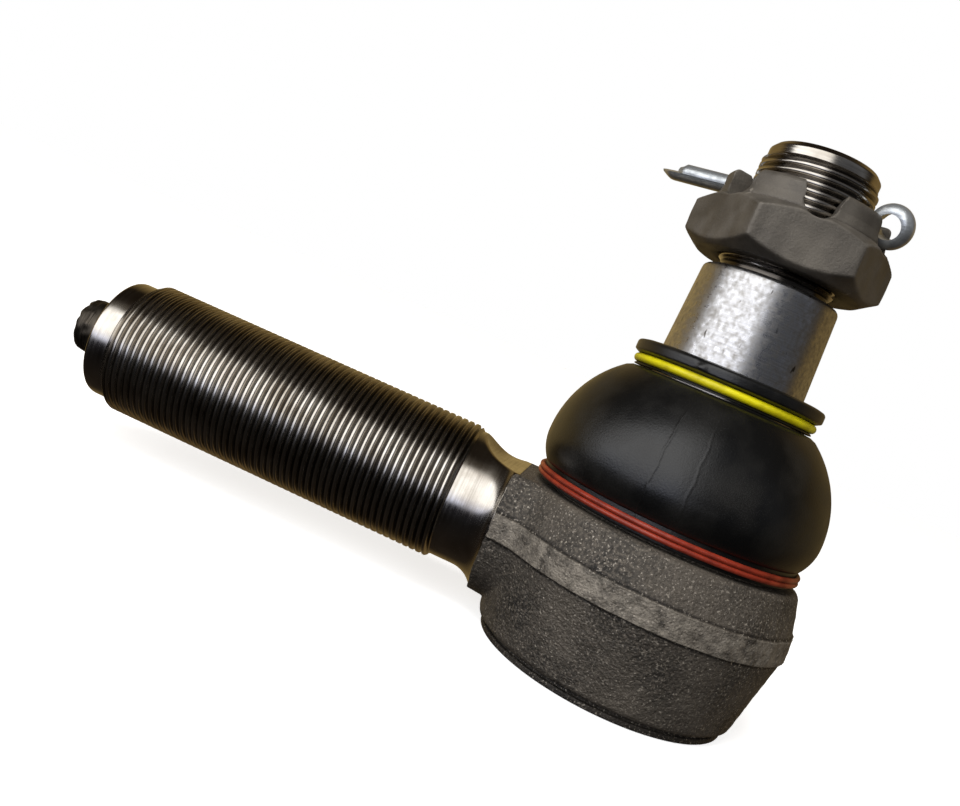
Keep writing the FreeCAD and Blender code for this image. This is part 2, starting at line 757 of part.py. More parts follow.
def pin_leg(body, name, reach, side):
    """Add one half-round leg from the eye to its tip, above or below the split."""
    gap = f"({side} * pin_split / 2)"
    sketch = new_sketch(body, f"{name}_outline", "YZ_Plane")
    height = value_of(sketch, PIN_HEIGHT)
    radius = value_of(sketch, "pin_radius")
    flat = value_of(sketch, gap)
    half = math.sqrt(radius ** 2 - flat ** 2)
    left = FreeCAD.Vector(-half, height + flat, 0)
    right = FreeCAD.Vector(half, height + flat, 0)
    start, end = (right, left) if side > 0 else (left, right)
    sketch.addGeometry(arc_between(start, end, radius + 1e-9))
    sketch.addGeometry(Part.LineSegment(end, start))
    sketch.addConstraint(Sketcher.Constraint("Coincident", 0, 2, 1, 1))
    sketch.addConstraint(Sketcher.Constraint("Coincident", 1, 2, 0, 1))
    sketch.addConstraint(Sketcher.Constraint("Horizontal", 1))
    sketch.addConstraint(Sketcher.Constraint("PointOnObject", 0, 3, -2))
    held = sketch.addConstraint(Sketcher.Constraint("DistanceY", -1, 1, 0, 3, height))
    bind(sketch, held, PIN_HEIGHT)
    held = sketch.addConstraint(Sketcher.Constraint("Radius", 0, radius))
    bind(sketch, held, "pin_radius")
    held = sketch.addConstraint(Sketcher.Constraint("DistanceY", -1, 1, 1, 1, height + flat))
    bind(sketch, held, f"{PIN_HEIGHT} + {gap}")
    pad = body.newObject("PartDesign::Pad", name)
    pad.Profile = sketch
    pad.Reversed = True
    pad.setExpression("Length", bound(reach))
    return pad


def pin_neck(body):
    """Add the round length where both legs run into the eye."""
    neck = body.newObject("PartDesign::AdditiveCylinder", "pin_neck")
    neck.Placement = FreeCAD.Placement(
        FreeCAD.Vector(), FreeCAD.Rotation(FreeCAD.Vector(0, 1, 0), 90)
    )
    neck.setExpression("Radius", bound("pin_radius"))
    neck.setExpression("Height", bound("thread_radius + 2 * body_gap"))
    neck.setExpression("Placement.Base.z", bound(PIN_HEIGHT))
    return neck


def pin_eye(body):
    """Add the round eye, upright, beyond the crown's slot."""
    eye = body.newObject("PartDesign::AdditiveTorus", "pin_eye")
    eye.Placement = FreeCAD.Placement(
        FreeCAD.Vector(), FreeCAD.Rotation(FreeCAD.Vector(1, 0, 0), 90)
    )
    eye.setExpression("Radius1", bound("eye_radius"))
    eye.setExpression("Radius2", bound("eye_wire_radius"))
    place = "thread_radius + body_gap + eye_radius + eye_wire_radius"
    eye.setExpression("Placement.Base.x", bound(place))
    eye.setExpression("Placement.Base.z", bound(f"{PIN_HEIGHT} + eye_drop"))
    return eye


def pin_points(body):
    """Cut both tips slanting, the lower leg to a point."""
    long_reach = "(pin_short_reach + pin_tail)"
    corners = [
        (f"-{long_reach} - cut_margin", f"{PIN_HEIGHT} - 2 * pin_radius"),
        (f"-{long_reach} + 2 * pin_point_depth", f"{PIN_HEIGHT} - 2 * pin_radius"),
        (f"-{long_reach} + 2 * pin_point_depth", f"{PIN_HEIGHT} - pin_radius"),
        (f"-{long_reach}", f"{PIN_HEIGHT} - pin_tip_height"),
        (f"-{long_reach} - cut_margin", f"{PIN_HEIGHT} - pin_tip_height"),
    ]
    sketch = draw(body, "point_outline", "XZ_Plane", corners)
    return punch(body, "point", sketch)


def make_split_pin(doc):
    """Return the split pin: two half-round legs, unequal in length, and a round eye."""
    body = make_body(doc, "split_pin")
    pin_neck(body)
    pin_eye(body)
    pin_leg(body, "upper_leg", "pin_short_reach", 1)
    pin_leg(body, "lower_leg", "(pin_short_reach + pin_tail)", -1)
    pin_points(body)
    face_pin(body)
    return body


# ---------------------------------------------------------------- document

MAKERS = (
    make_housing,
    make_ball_stud,
    make_ball_liner,
    make_upper_shell,
    make_lower_shell,
    make_pressure_ring,
    make_disc_spring,
    make_closing_cover,
    make_cover_seal,
    make_boot,
    make_boot_collar,
    make_collar_insert,
    make_lower_clamp_ring,
    make_upper_clamp_ring,
    make_castle_nut,
    make_split_pin,
)


def check(doc, bodies):
    """Stop if any object failed to compute or any sub-part isn't one valid solid."""
    for item in doc.Objects:
        if "Invalid" in item.State or "Error" in item.State:
            raise RuntimeError(f"{item.Label} did not compute: {item.State}")
    for body in bodies:
        shape = body.Shape
        if shape.isNull() or not shape.isValid() or len(shape.Solids) != 1:
            raise RuntimeError(f"{body.Label} is not one valid solid")


def main():
    """Build every sub-part, check it and write its file."""
    doc = FreeCAD.newDocument("tie_rod_end")
    make_sheet(doc)
    bodies = [maker(doc) for maker in MAKERS]
    doc.recompute()
    check(doc, bodies)
    os.makedirs("parts", exist_ok=True)
    for body in bodies:
        body.Shape.exportStep(f"parts/{body.Label}.step")
        print(f"{body.Label}: {body.Shape.Volume:.1f} mm3")


main()
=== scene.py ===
"""Looks of a tie rod end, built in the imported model's own frame.

The frame has its origin at the ball's centre, +Z up along the ball stud and -X along the shank.
Sizes in this file are millimetres and degrees unless a name says otherwise. Meshes are in metres.
"""

import logging
import math
from collections.abc import Callable
from dataclasses import dataclass, field
from enum import Enum

import bpy
import numpy as np
from mathutils import Matrix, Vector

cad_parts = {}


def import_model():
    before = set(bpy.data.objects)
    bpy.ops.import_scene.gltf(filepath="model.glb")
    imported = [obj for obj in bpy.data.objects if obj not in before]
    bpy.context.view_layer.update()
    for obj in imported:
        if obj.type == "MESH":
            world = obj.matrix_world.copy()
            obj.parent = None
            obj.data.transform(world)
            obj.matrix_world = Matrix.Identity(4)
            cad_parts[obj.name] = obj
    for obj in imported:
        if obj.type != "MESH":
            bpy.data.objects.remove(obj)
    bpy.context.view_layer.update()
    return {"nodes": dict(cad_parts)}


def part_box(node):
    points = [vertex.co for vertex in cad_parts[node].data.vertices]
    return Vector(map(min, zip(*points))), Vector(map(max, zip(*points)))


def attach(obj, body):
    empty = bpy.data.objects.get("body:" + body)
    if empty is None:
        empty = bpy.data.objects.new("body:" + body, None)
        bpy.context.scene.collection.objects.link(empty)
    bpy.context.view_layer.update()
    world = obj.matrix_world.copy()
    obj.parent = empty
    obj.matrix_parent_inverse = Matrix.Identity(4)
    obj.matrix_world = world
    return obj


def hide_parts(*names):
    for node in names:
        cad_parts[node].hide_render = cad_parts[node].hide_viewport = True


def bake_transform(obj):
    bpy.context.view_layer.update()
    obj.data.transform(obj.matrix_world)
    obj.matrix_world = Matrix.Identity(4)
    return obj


LOG = logging.getLogger("tie_rod_end")
MM = 0.001
LEAST = 0.01
TINY = 1e-6
RUN_SHARE = 0.49
WAVE_SPREAD = (0.7, 1.4)
WELD_STEPS = 2000.0
WELD_SHIFT = 0.31

Tree = bpy.types.NodeTree
Socket = bpy.types.NodeSocket
Coat = tuple[Socket, Socket, Socket | None]
Limit = Callable[[np.ndarray], np.ndarray]


# ------------------------------------------------------------------ measures and shapes


@dataclass(frozen=True)
class Span:
    """The box that one node of the frame fills, in millimetres."""

    low: np.ndarray
    high: np.ndarray

    @classmethod
    def of(cls, node: str) -> "Span":
        """Return the span of a node at rest, read from the frame."""
        low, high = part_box(node)
        return cls(np.array(low) / MM, np.array(high) / MM)

    @property
    def radius(self) -> float:
        """Return the largest reach along +Y, which is a round node's radius."""
        return float(self.high[1])

    @property
    def bottom(self) -> float:
        """Return the lowest height."""
        return float(self.low[2])

    @property
    def top(self) -> float:
        """Return the greatest height."""
        return float(self.high[2])


class Crease(Enum):
    """The angle in degrees past which a piece's edges stay sharp."""

    CRISP = 32.0
    MACHINED = 40.0
    FORGED = 45.0
    SOFT = 50.0
    ROUND = 60.0


class Seed(Enum):
    """The numbers that fix each surface's random lumps."""

    HEAD_SWELL = 11
    HEAD_PITS = 12
    STUB_FACE = 31
    STUB_SIDE = 32
    NUT = 51


class Axis(Enum):
    """The line that a turned shape is made round: its two cross directions and its own."""

    STUD = ((1.0, 0.0, 0.0), (0.0, 1.0, 0.0), (0.0, 0.0, 1.0))
    SHANK = ((0.0, 0.0, 1.0), (0.0, 1.0, 0.0), (-1.0, 0.0, 0.0))

    def place(self, radius: np.ndarray, angle: np.ndarray, height: np.ndarray) -> np.ndarray:
        """Return points at a radius and an angle round the axis and a height along it.

        Args:
            radius: Distance from the axis.
            angle: Angle from the first cross direction to the second, in radians.
            height: Distance along the axis.

        Returns:
            The points, with the last dimension X, Y and Z.
        """
        across, up, along = (np.array(part) for part in self.value)
        level = radius * np.cos(angle)
        rise = radius * np.sin(angle)
        return level[..., None] * across + rise[..., None] * up + height[..., None] * along


@dataclass
class Sheet:
    """A closed surface on a grid: points by row and column, and a pattern place for each."""

    points: np.ndarray
    pattern: np.ndarray


def full_turn(columns: int) -> np.ndarray:
    """Return angles that go once round, with the first repeated at the end."""
    return np.linspace(-math.pi, math.pi, columns + 1)


def smooth_most(first: np.ndarray, second: np.ndarray, width: float) -> np.ndarray:
    """Return the larger of two values, rounded where they differ by less than a width."""
    near = np.maximum(width - np.abs(first - second), 0.0)
    return np.maximum(first, second) + near ** 2 / (4.0 * width)


def smooth_least(first: np.ndarray, second: np.ndarray, width: float) -> np.ndarray:
    """Return the smaller of two values, rounded where they differ by less than a width."""
    return -smooth_most(-first, -second, width)


def lumps(points: np.ndarray, size: float, seed: Seed, waves: int = 24) -> np.ndarray:
    """Return soft random lumps: a sum of sines along seeded directions, about -1 to 1.

    Args:
        points: Places to work out, with the last dimension X, Y and Z.
        size: Length of one wave.
        seed: What fixes the directions and phases.
        waves: How many sines are summed.

    Returns:
        One height for each point.
    """
    draw = np.random.default_rng(seed.value)
    ways = draw.normal(size=(waves, 3))
    ways *= draw.uniform(*WAVE_SPREAD, (waves, 1)) / np.linalg.norm(ways, axis=1, keepdims=True)
    phases = draw.uniform(0.0, 2.0 * math.pi, waves)
    turns = points @ ways.T * (2.0 * math.pi / size) + phases
    return np.sin(turns).sum(axis=-1) / math.sqrt(waves)


def rounded(outline: list, steps: int = 6) -> np.ndarray:
    """Return an outline with its corners rounded and its long runs cut into short ones.

    A corner is a radius, a height and, where it is rounded, the fillet's radius. The fillet is
    the arc that touches both runs, and is drawn as a parabola through its two touch points.

    Args:
        outline: Corners in order.
        steps: Points on each fillet.

    Returns:
        Points as rows of radius and height.
    """
    corners = np.array([corner[:2] for corner in outline], float)
    fillets = [corner[2] if len(corner) > 2 else 0.0 for corner in outline]
    made = [corners[0]]
    for index in range(1, len(corners) - 1):
        back = corners[index - 1] - corners[index]
        ahead = corners[index + 1] - corners[index]
        reach = [np.linalg.norm(back), np.linalg.norm(ahead)]
        if fillets[index] == 0.0 or min(reach) < TINY:
            made.append(corners[index])
            continue
        back, ahead = back / reach[0], ahead / reach[1]
        half = math.acos(float(np.clip(back @ ahead, -1.0, 1.0))) / 2.0
        cut = min(fillets[index] / math.tan(half), RUN_SHARE * reach[0], RUN_SHARE * reach[1])
        share = np.linspace(0.0, 1.0, steps)[:, None]
        start, end = corners[index] + back * cut, corners[index] + ahead * cut
        curve = (1 - share) ** 2 * start + 2 * share * (1 - share) * corners[index]
        made.extend(curve + share ** 2 * end)
    made.append(corners[-1])
    return np.array(made)


def subdivided(outline: np.ndarray, step: float) -> np.ndarray:
    """Return an outline with points added so that no run is longer than a step.

    Args:
        outline: Points as rows of radius and height.
        step: The longest run that is left.

    Returns:
        The given points and the added ones, in order.
    """
    runs = np.linalg.norm(np.diff(outline, axis=0), axis=1)
    far = np.concatenate([[0.0], np.cumsum(runs)])
    counts = np.maximum(np.ceil(runs / step).astype(int), 1)
    cuts = [
        np.linspace(far[index], far[index + 1], count, endpoint=False)
        for index, count in enumerate(counts)
    ]
    along = np.concatenate(cuts + [far[-1:]])
    return np.stack([np.interp(along, far, outline[:, part]) for part in (0, 1)], axis=1)


def turned(profile: np.ndarray, axis: Axis, angles: np.ndarray) -> Sheet:
    """Return a profile turned round an axis.

    The point at row i and column j lies at the profile's radius i and height i, at angle j. Its
    pattern place is the length round the widest radius and the length along the profile.

    Args:
        profile: Points as rows of radius and height.
        axis: The axis to turn them round.
        angles: The angles to put them at, in radians.

    Returns:
        The surface.
    """
    radius, height = profile[:, :1], profile[:, 1:]
    flat = np.zeros_like(angles)[None, :]
    points = axis.place(radius + flat, angles + 0.0 * radius, height + flat)
    runs = np.linalg.norm(np.diff(profile, axis=0), axis=1)
    along = np.concatenate([[0.0], np.cumsum(runs)])
    pattern = np.stack(np.broadcast_arrays(angles * profile[:, 0].max(), along[:, None]), axis=-1)
    return Sheet(points, pattern)


def swept(path: np.ndarray, sides: np.ndarray, tops: np.ndarray, section: np.ndarray) -> Sheet:
    """Return a closed section carried along a path, with both ends drawn in to a point.

    The point at row i and column j is path i plus the section's first number times side i and
    its second number times top i.

    Args:
        path: Points of the path.
        sides: First cross direction at each point.
        tops: Second cross direction at each point.
        section: Closed outline for each point of the path, by row and column.

    Returns:
        The surface with its two ends closed.
    """
    body = path[:, None] + section[..., :1] * sides[:, None] + section[..., 1:] * tops[:, None]
    first = np.broadcast_to(body[0].mean(axis=0), body[:1].shape)
    last = np.broadcast_to(body[-1].mean(axis=0), body[:1].shape)
    points = np.concatenate([first, body, last])
    rows = np.arange(len(points), dtype=float)[:, None]
    columns = np.arange(points.shape[1], dtype=float)[None, :]
    return Sheet(points, np.stack(np.broadcast_arrays(columns, rows), axis=-1))


def grid_corners(sheet: Sheet) -> tuple[np.ndarray, np.ndarray]:
    """Return the four places and four pattern places of each face, turned to face outwards.

    The sum of each face's corner volumes is the surface's volume, and a minus sign there means
    that the faces look inwards, so their corners are reversed.

    Args:
        sheet: The surface.

    Returns:
        The places and the pattern places, by face and corner.
    """
    rows, columns = sheet.points.shape[:2]
    index = np.arange(rows * columns).reshape(rows, columns)
    quads = np.stack(
        [index[:-1, :-1], index[:-1, 1:], index[1:, 1:], index[1:, :-1]], axis=-1
    ).reshape(-1, 4)
    places = sheet.points.reshape(-1, 3)[quads]
    first, second, third, fourth = (places[:, corner] for corner in range(4))
    volume = (first * np.cross(second, third)).sum() + (first * np.cross(third, fourth)).sum()
    patterns = sheet.pattern.reshape(-1, 2)[quads]
    if volume < 0:
        return places[:, ::-1], patterns[:, ::-1]
    return places, patterns


def piece(
    name: str, sheets: list[Sheet], finish: bpy.types.Material, crease: Crease = Crease.CRISP
) -> bpy.types.Object:
    """Return an object made from closed grid surfaces, with equal places joined into one.

    Args:
        name: Name of the piece.
        sheets: The surfaces.
        finish: Material of the whole piece.
        crease: How sharply an edge must turn to stay sharp.

    Returns:
        The object, at the origin, with its place in its mesh.
    """
    found = [grid_corners(sheet) for sheet in sheets]
    places = np.concatenate([part[0] for part in found])
    patterns = np.concatenate([part[1] for part in found])
    marks = np.round(places.reshape(-1, 3) * WELD_STEPS + WELD_SHIFT).astype(np.int64)
    _, chosen, ids = np.unique(marks, axis=0, return_index=True, return_inverse=True)
    ids = ids.reshape(-1, 4)
    kept = ids != np.roll(ids, 1, axis=1)
    kept[(ids[:, 0] == ids[:, 2]) | (ids[:, 1] == ids[:, 3])] = False
    counts = kept.sum(axis=1)
    kept[counts < 3] = False
    counts = counts[counts >= 3]
    corners = ids[kept]
    mesh = bpy.data.meshes.new(name)
    mesh.vertices.add(len(chosen))
    mesh.vertices.foreach_set("co", (places.reshape(-1, 3)[chosen] * MM).ravel())
    mesh.loops.add(len(corners))
    mesh.loops.foreach_set("vertex_index", corners)
    mesh.polygons.add(len(counts))
    mesh.polygons.foreach_set("loop_start", np.cumsum(counts) - counts)
    layer = mesh.uv_layers.new(name="Pattern")
    layer.data.foreach_set("uv", patterns[kept].ravel())
    mesh.update(calc_edges=True)
    mesh.validate()
    mesh.polygons.foreach_set("use_smooth", np.ones(len(mesh.polygons), bool))
    mesh.set_sharp_from_angle(angle=math.radians(crease.value))
    mesh.materials.append(finish)
    made = bpy.data.objects.new(name, mesh)
    bpy.context.scene.collection.objects.link(made)
    LOG.info("%s: %d faces", name, len(mesh.polygons))
    return made


# ------------------------------------------------------------------ finishes


def linear(code: str) -> tuple[float, float, float, float]:
    """Return a hex colour of the sRGB scale as linear parts.

    Args:
        code: Six hex digits, red first.

    Returns:
        Red, green, blue and a full alpha.
    """
    parts = [int(code[start : start + 2], 16) / 255.0 for start in (0, 2, 4)]
    curved = [
        part / 12.92 if part <= 0.04045 else ((part + 0.055) / 1.055) ** 2.4 for part in parts
    ]
    return (*curved, 1.0)


class Kind(Enum):
    """The kinds of node in use, each with its type, inputs in order, output and settings."""

    OBJECT_PLACE = ("ShaderNodeTexCoord", (), "Object", {})
    DIRECTION = ("ShaderNodeTexCoord", (), "Generated", {})
    PATTERN_PLACE = ("ShaderNodeUVMap", (), 0, {"uv_map": "Pattern"})
    BEND = ("ShaderNodeNewGeometry", (), "Pointiness", {})
    CAMERA_SEES = ("ShaderNodeLightPath", (), "Is Camera Ray", {})
    PART_X = ("ShaderNodeSeparateXYZ", ("Vector",), 0, {})
    PART_Y = ("ShaderNodeSeparateXYZ", ("Vector",), 1, {})
    PART_Z = ("ShaderNodeSeparateXYZ", ("Vector",), 2, {})
    ABSOLUTE = ("ShaderNodeMath", (0,), 0, {"operation": "ABSOLUTE"})
    PRODUCT = ("ShaderNodeMath", (0, 1), 0, {"operation": "MULTIPLY"})
    ANGLE = ("ShaderNodeMath", (0, 1), 0, {"operation": "ARCTAN2"})
    MAPPING = ("ShaderNodeMapping", ("Vector", "Scale"), 0, {})
    NOISE = ("ShaderNodeTexNoise", ("Vector", "Scale", "Detail"), 0, {})
    RANGE = ("ShaderNodeMapRange", ("Value", "From Min", "From Max", "To Min", "To Max"), 0, {})
    MIX = ("ShaderNodeMix", (0, 6, 7), 2, {"data_type": "RGBA"})
    RAMP = ("ShaderNodeValToRGB", (0,), 0, {})
    BUMP = ("ShaderNodeBump", ("Height", "Distance", "Normal"), 0, {})
    SURFACE = (
        "ShaderNodeBsdfPrincipled",
        ("Base Color", "Roughness", "Normal", "Metallic", "IOR"),
        0,
        {},
    )
    BACKGROUND = ("ShaderNodeBackground", ("Color", "Strength"), 0, {})
    EITHER = ("ShaderNodeMixShader", (0, 1, 2), 0, {})
    MATERIAL_END = ("ShaderNodeOutputMaterial", ("Surface",), None, {})
    WORLD_END = ("ShaderNodeOutputWorld", ("Surface",), None, {})


def add_node(tree: Tree, kind: Kind, *inputs: Socket | float | tuple | None) -> Socket | None:
    """Add one node to a material or a world, with its settings and links.

    Args:
        tree: The nodes to add it to.
        kind: The kind of node.
        inputs: Value or output socket for each of the kind's inputs in turn. None keeps the
            node's own value, and so does leaving the last ones out.

    Returns:
        The output socket that the kind names, or None for a kind with none.
    """
    made, names, output, settings = kind.value
    node = tree.nodes.new(made)
    for name, value in settings.items():
        setattr(node, name, value)
    for name, value in zip(names, inputs):
        if isinstance(value, Socket):
            tree.links.new(value, node.inputs[name])
        elif value is not None:
            node.inputs[name].default_value = value
    return None if output is None else node.outputs[output]


@dataclass(frozen=True)
class Grain:
    """Random grain: its width in millimetres, and the noise values that give 0 and 1.

    Each of the stretch's numbers shortens the coordinates along X, Y or Z, so a small one draws
    the grain out that way. The last number is how many finer layers the grain has.
    """

    size: float
    low: float
    high: float
    stretch: tuple[float, float, float] = (1.0, 1.0, 1.0)
    fine: float = 3.0

    def socket(self, tree: Tree, places: Socket) -> Socket:
        """Return a socket from 0 to 1 that follows the grain.

        Args:
            tree: The material's nodes.
            places: Socket of the coordinates, in metres.

        Returns:
            The socket.
        """
        mapped = add_node(tree, Kind.MAPPING, places, self.stretch)
        noise = add_node(tree, Kind.NOISE, mapped, 1.0 / (self.size * MM), self.fine)
        return add_node(tree, Kind.RANGE, noise, self.low, self.high)


@dataclass(frozen=True)
class Finish:
    """A surface's look: a main colour clouded with a second, and a fine skin raised on it.

    The cloud also carries the roughness from the first of its two values to the second.
    """

    name: str
    main: str
    second: str
    cloud: Grain
    skin: Grain | None
    depth: float
    rough: tuple[float, float]
    metallic: float = 0.0
    ior: float = 1.5

    def paint(self, tree: Tree, places: Socket) -> Coat:
        """Mix the two colours by the cloud and raise the skin.

        Args:
            tree: The material's nodes.
            places: Socket of the coordinates, in metres.

        Returns:
            The sockets of the colour, the roughness and, where there is a skin, the normal.
        """
        cloud = self.cloud.socket(tree, places)
        colour = add_node(tree, Kind.MIX, cloud, linear(self.main), linear(self.second))
        gloss = add_node(tree, Kind.RANGE, cloud, 0.0, 1.0, *self.rough)
        if self.skin is None:
            return colour, gloss, None
        skin = self.skin.socket(tree, places)
        return colour, gloss, add_node(tree, Kind.BUMP, skin, self.depth * MM)

    def material(self) -> bpy.types.Material:
        """Return the finish as a material. A metal keeps the shader's own IOR.

        Returns:
            The material, under the finish's name.
        """
        made = bpy.data.materials.new(self.name)
        made.use_nodes = True
        tree = made.node_tree
        tree.nodes.clear()
        coat = self.paint(tree, add_node(tree, Kind.OBJECT_PLACE))
        ior = self.ior if self.metallic == 0.0 else None
        surface = add_node(tree, Kind.SURFACE, *coat, self.metallic, ior)
        add_node(tree, Kind.MATERIAL_END, surface)
        return made


@dataclass(frozen=True)
class ForgedScale(Finish):
    """Blasted forging scale: dark grey-brown, pitted, with bright specks and a trimmed band.

    The band where the forging's flash was cut off is paler and torn. A dark line of painted shade
    lies along each of its edges, and the groove under the head is painted dark as shade. The bright
    specks are bare-metal flecks with painted glints. Heights are from the ball's centre, up or down,
    and the grit is drawn coarser than it is, so that it shows.
    """

    main: str = "2A2825"
    second: str = "5F584F"
    cloud: Grain = Grain(12.0, 0.3, 0.75, fine=2.0)
    skin: Grain = Grain(1.1, 0.2, 0.8, fine=2.0)
    depth: float = 0.16
    rough: tuple[float, float] = (0.35, 0.62)
    metallic: float = 0.35
    fleck_and_glint: str = "A0978A"
    band: str = "8F877B"
    shade: str = "14110F"
    pits: Grain = Grain(0.6, 0.44, 0.7, fine=1.0)
    torn: Grain = Grain(2.4, 0.3, 0.62, fine=5.0)
    flecks_and_glints: Grain = Grain(0.42, 0.6, 0.78, fine=1.0)
    grit: Grain = Grain(0.45, 0.25, 0.75, fine=1.0)
    grit_depth: float = 0.11
    band_inside: tuple[float, float] = (2.4, 2.7)
    line_rise: tuple[float, float] = (2.45, 2.8)
    line_fall: tuple[float, float] = (2.85, 3.3)
    groove_shade_rise: tuple[float, float] = (19.7, 20.1)
    strong: float = 0.8
    groove_shade_share: float = 0.7

    def shares(self, tree: Tree, places: Socket) -> tuple[Socket, Socket, Socket]:
        """Find how much of the band, of its edge lines of painted shade and of the groove's painted
        shade lies at a place.

        Args:
            tree: The material's nodes.
            places: Socket of the coordinates, in metres.

        Returns:
            The sockets of the three shares.
        """
        level = add_node(tree, Kind.ABSOLUTE, add_node(tree, Kind.PART_Z, places))
        found = []
        for limits, first, last in (
            (self.band_inside, self.strong, 0.0),
            (self.line_rise, 0.0, 1.0),
            (self.line_fall, self.strong, 0.0),
            (self.groove_shade_rise, 0.0, self.groove_shade_share),
        ):
            low, high = (limit * MM for limit in limits)
            found.append(add_node(tree, Kind.RANGE, level, low, high, first, last))
        inside, edge, past, groove = found
        band = add_node(tree, Kind.PRODUCT, inside, self.torn.socket(tree, places))
        return band, add_node(tree, Kind.PRODUCT, edge, past), groove

    def paint(self, tree: Tree, places: Socket) -> Coat:
        """Cloud and pit the scale, lay the band over it, paint shade along its edge lines and in the
        groove, and add the specks with their painted glints.

        Args:
            tree: The material's nodes.
            places: Socket of the coordinates, in metres.

        Returns:
            The sockets of the colour, the roughness and the normal.
        """
        colour, _, coarse = super().paint(tree, places)
        # The specks are bare-metal flecks with painted glints: paler and glossier than the scale.
        flecks_and_glints = self.flecks_and_glints.socket(tree, places)
        band, line, groove = self.shares(tree, places)
        # The edge lines and the groove are painted shade; the specks are bare-metal flecks with painted
        # glints.
        for share, over in (
            (self.pits.socket(tree, places), self.second),
            (band, self.band),
            (line, self.shade),
            (groove, self.shade),
            (flecks_and_glints, self.fleck_and_glint),
        ):
            colour = add_node(tree, Kind.MIX, share, colour, linear(over))
        grit = self.grit.socket(tree, places)
        normal = add_node(tree, Kind.BUMP, grit, self.grit_depth * MM, coarse)
        return colour, add_node(tree, Kind.RANGE, flecks_and_glints, 0.0, 1.0, *self.rough[::-1]), normal


@dataclass(frozen=True)
class TurnedSteel(Finish):
    """Lathe-turned steel: bright, with fine rings round its axis, and painted shade in thread roots.

    The skin is worked out from the ring's width and the axis.
    """

    main: str = "CDC8C0"
    second: str = "9D958A"
    cloud: Grain = Grain(6.0, 0.35, 0.7, fine=4.0)
    skin: Grain | None = None
    depth: float = 0.01
    rough: tuple[float, float] = (0.15, 0.26)
    metallic: float = 1.0
    root_shade: str = "2E2822"
    axis: Axis = Axis.SHANK
    ring: float = 0.35
    drawn_out: float = 0.02
    ring_share: float = 0.3
    threaded: bool = False
    root_shade_from: float = 0.45
    root_shade_share: float = 0.85

    def paint(self, tree: Tree, places: Socket) -> Coat:
        """Darken bright steel by its turning rings, and paint shade into a thread's roots.

        Args:
            tree: The material's nodes.
            places: Socket of the coordinates, in metres.

        Returns:
            The sockets of the colour, the roughness and the normal.
        """
        draw = self.drawn_out
        stretch = (1.0, draw, draw) if self.axis is Axis.SHANK else (draw, draw, 1.0)
        rings = Grain(self.ring, 0.3, 0.7, stretch, 2.0).socket(tree, places)
        colour, _, _ = super().paint(tree, places)
        share = add_node(tree, Kind.RANGE, rings, 0.0, 1.0, 0.0, self.ring_share)
        colour = add_node(tree, Kind.MIX, share, colour, linear(self.second))
        # Painted shade: a thread's roots, found by the pattern's drop, are darkened where shade falls
        # in them.
        if self.threaded:
            depth = add_node(tree, Kind.PART_X, add_node(tree, Kind.PATTERN_PLACE))
            root_shaded = add_node(tree, Kind.RANGE, depth, self.root_shade_from, 1.0, 0.0, self.root_shade_share)
            colour = add_node(tree, Kind.MIX, root_shaded, colour, linear(self.root_shade))
        gloss = add_node(tree, Kind.RANGE, rings, 0.0, 1.0, *self.rough)
        return colour, gloss, add_node(tree, Kind.BUMP, rings, self.depth * MM)


@dataclass(frozen=True)
class GroundSteel(Finish):
    """Ground and oiled steel: pale grey, mottled by handling, finely lined, with dark nicks."""

    main: str = "C6C6C8"
    second: str = "A8A49E"
    cloud: Grain = Grain(1.0, 0.36, 0.76, fine=4.0)
    skin: Grain = Grain(0.3, 0.3, 0.7, (0.04, 0.04, 1.0), 2.0)
    depth: float = 0.012
    rough: tuple[float, float] = (0.27, 0.5)
    metallic: float = 1.0
    nick: str = "5A554F"
    nicks: Grain = Grain(1.2, 0.7, 0.76, (1.0, 1.0, 0.4), 1.0)

    def paint(self, tree: Tree, places: Socket) -> Coat:
        """Mottle and line the steel, and darken it where it is nicked.

        Args:
            tree: The material's nodes.
            places: Socket of the coordinates, in metres.

        Returns:
            The sockets of the colour, the roughness and the normal.
        """
        colour, gloss, normal = super().paint(tree, places)
        nicked = self.nicks.socket(tree, places)
        return add_node(tree, Kind.MIX, nicked, colour, linear(self.nick)), gloss, normal


@dataclass(frozen=True)
class MouldedRubber(Finish):
    """Moulded rubber: near black, satin, clouded with faint bloom, with a fine even skin."""

    main: str = "0C0C0C"
    second: str = "1B1A18"
    cloud: Grain = Grain(8.0, 0.4, 0.72, fine=5.0)
    skin: Grain = Grain(0.4, 0.3, 0.7, fine=2.0)
    depth: float = 0.012
    rough: tuple[float, float] = (0.3, 0.44)
    ior: float = 1.52


@dataclass(frozen=True)
class CoatedWire(Finish):
    """Round wire in a coloured coat: even colour, dulled and darker in small patches."""

    main: str = "88301F"
    second: str = "682216"
    cloud: Grain = Grain(3.0, 0.42, 0.72, fine=4.0)
    skin: Grain = Grain(0.8, 0.3, 0.7, fine=2.0)
    depth: float = 0.02
    rough: tuple[float, float] = (0.3, 0.5)


@dataclass(frozen=True)
class Phosphate(Finish):
    """Phosphated steel: matte dark grey-brown, fine grained, paler along its sharp edges."""

    main: str = "57524B"
    second: str = "6F6960"
    cloud: Grain = Grain(5.0, 0.35, 0.7, fine=5.0)
    skin: Grain = Grain(0.45, 0.3, 0.7, fine=3.0)
    depth: float = 0.035
    rough: tuple[float, float] = (0.45, 0.62)
    metallic: float = 0.5
    pale_edge: str = "A49C90"
    edge: tuple[float, float] = (0.52, 0.6)
    edge_share: float = 0.55

    def paint(self, tree: Tree, places: Socket) -> Coat:
        """Mottle the coat and make it paler where the surface turns sharply.

        Args:
            tree: The material's nodes.
            places: Socket of the coordinates, in metres.

        Returns:
            The sockets of the colour, the roughness and the normal.
        """
        colour, gloss, normal = super().paint(tree, places)
        bend = add_node(tree, Kind.BEND)
        edge = add_node(tree, Kind.RANGE, bend, *self.edge, 0.0, self.edge_share)
        return add_node(tree, Kind.MIX, edge, colour, linear(self.pale_edge)), gloss, normal


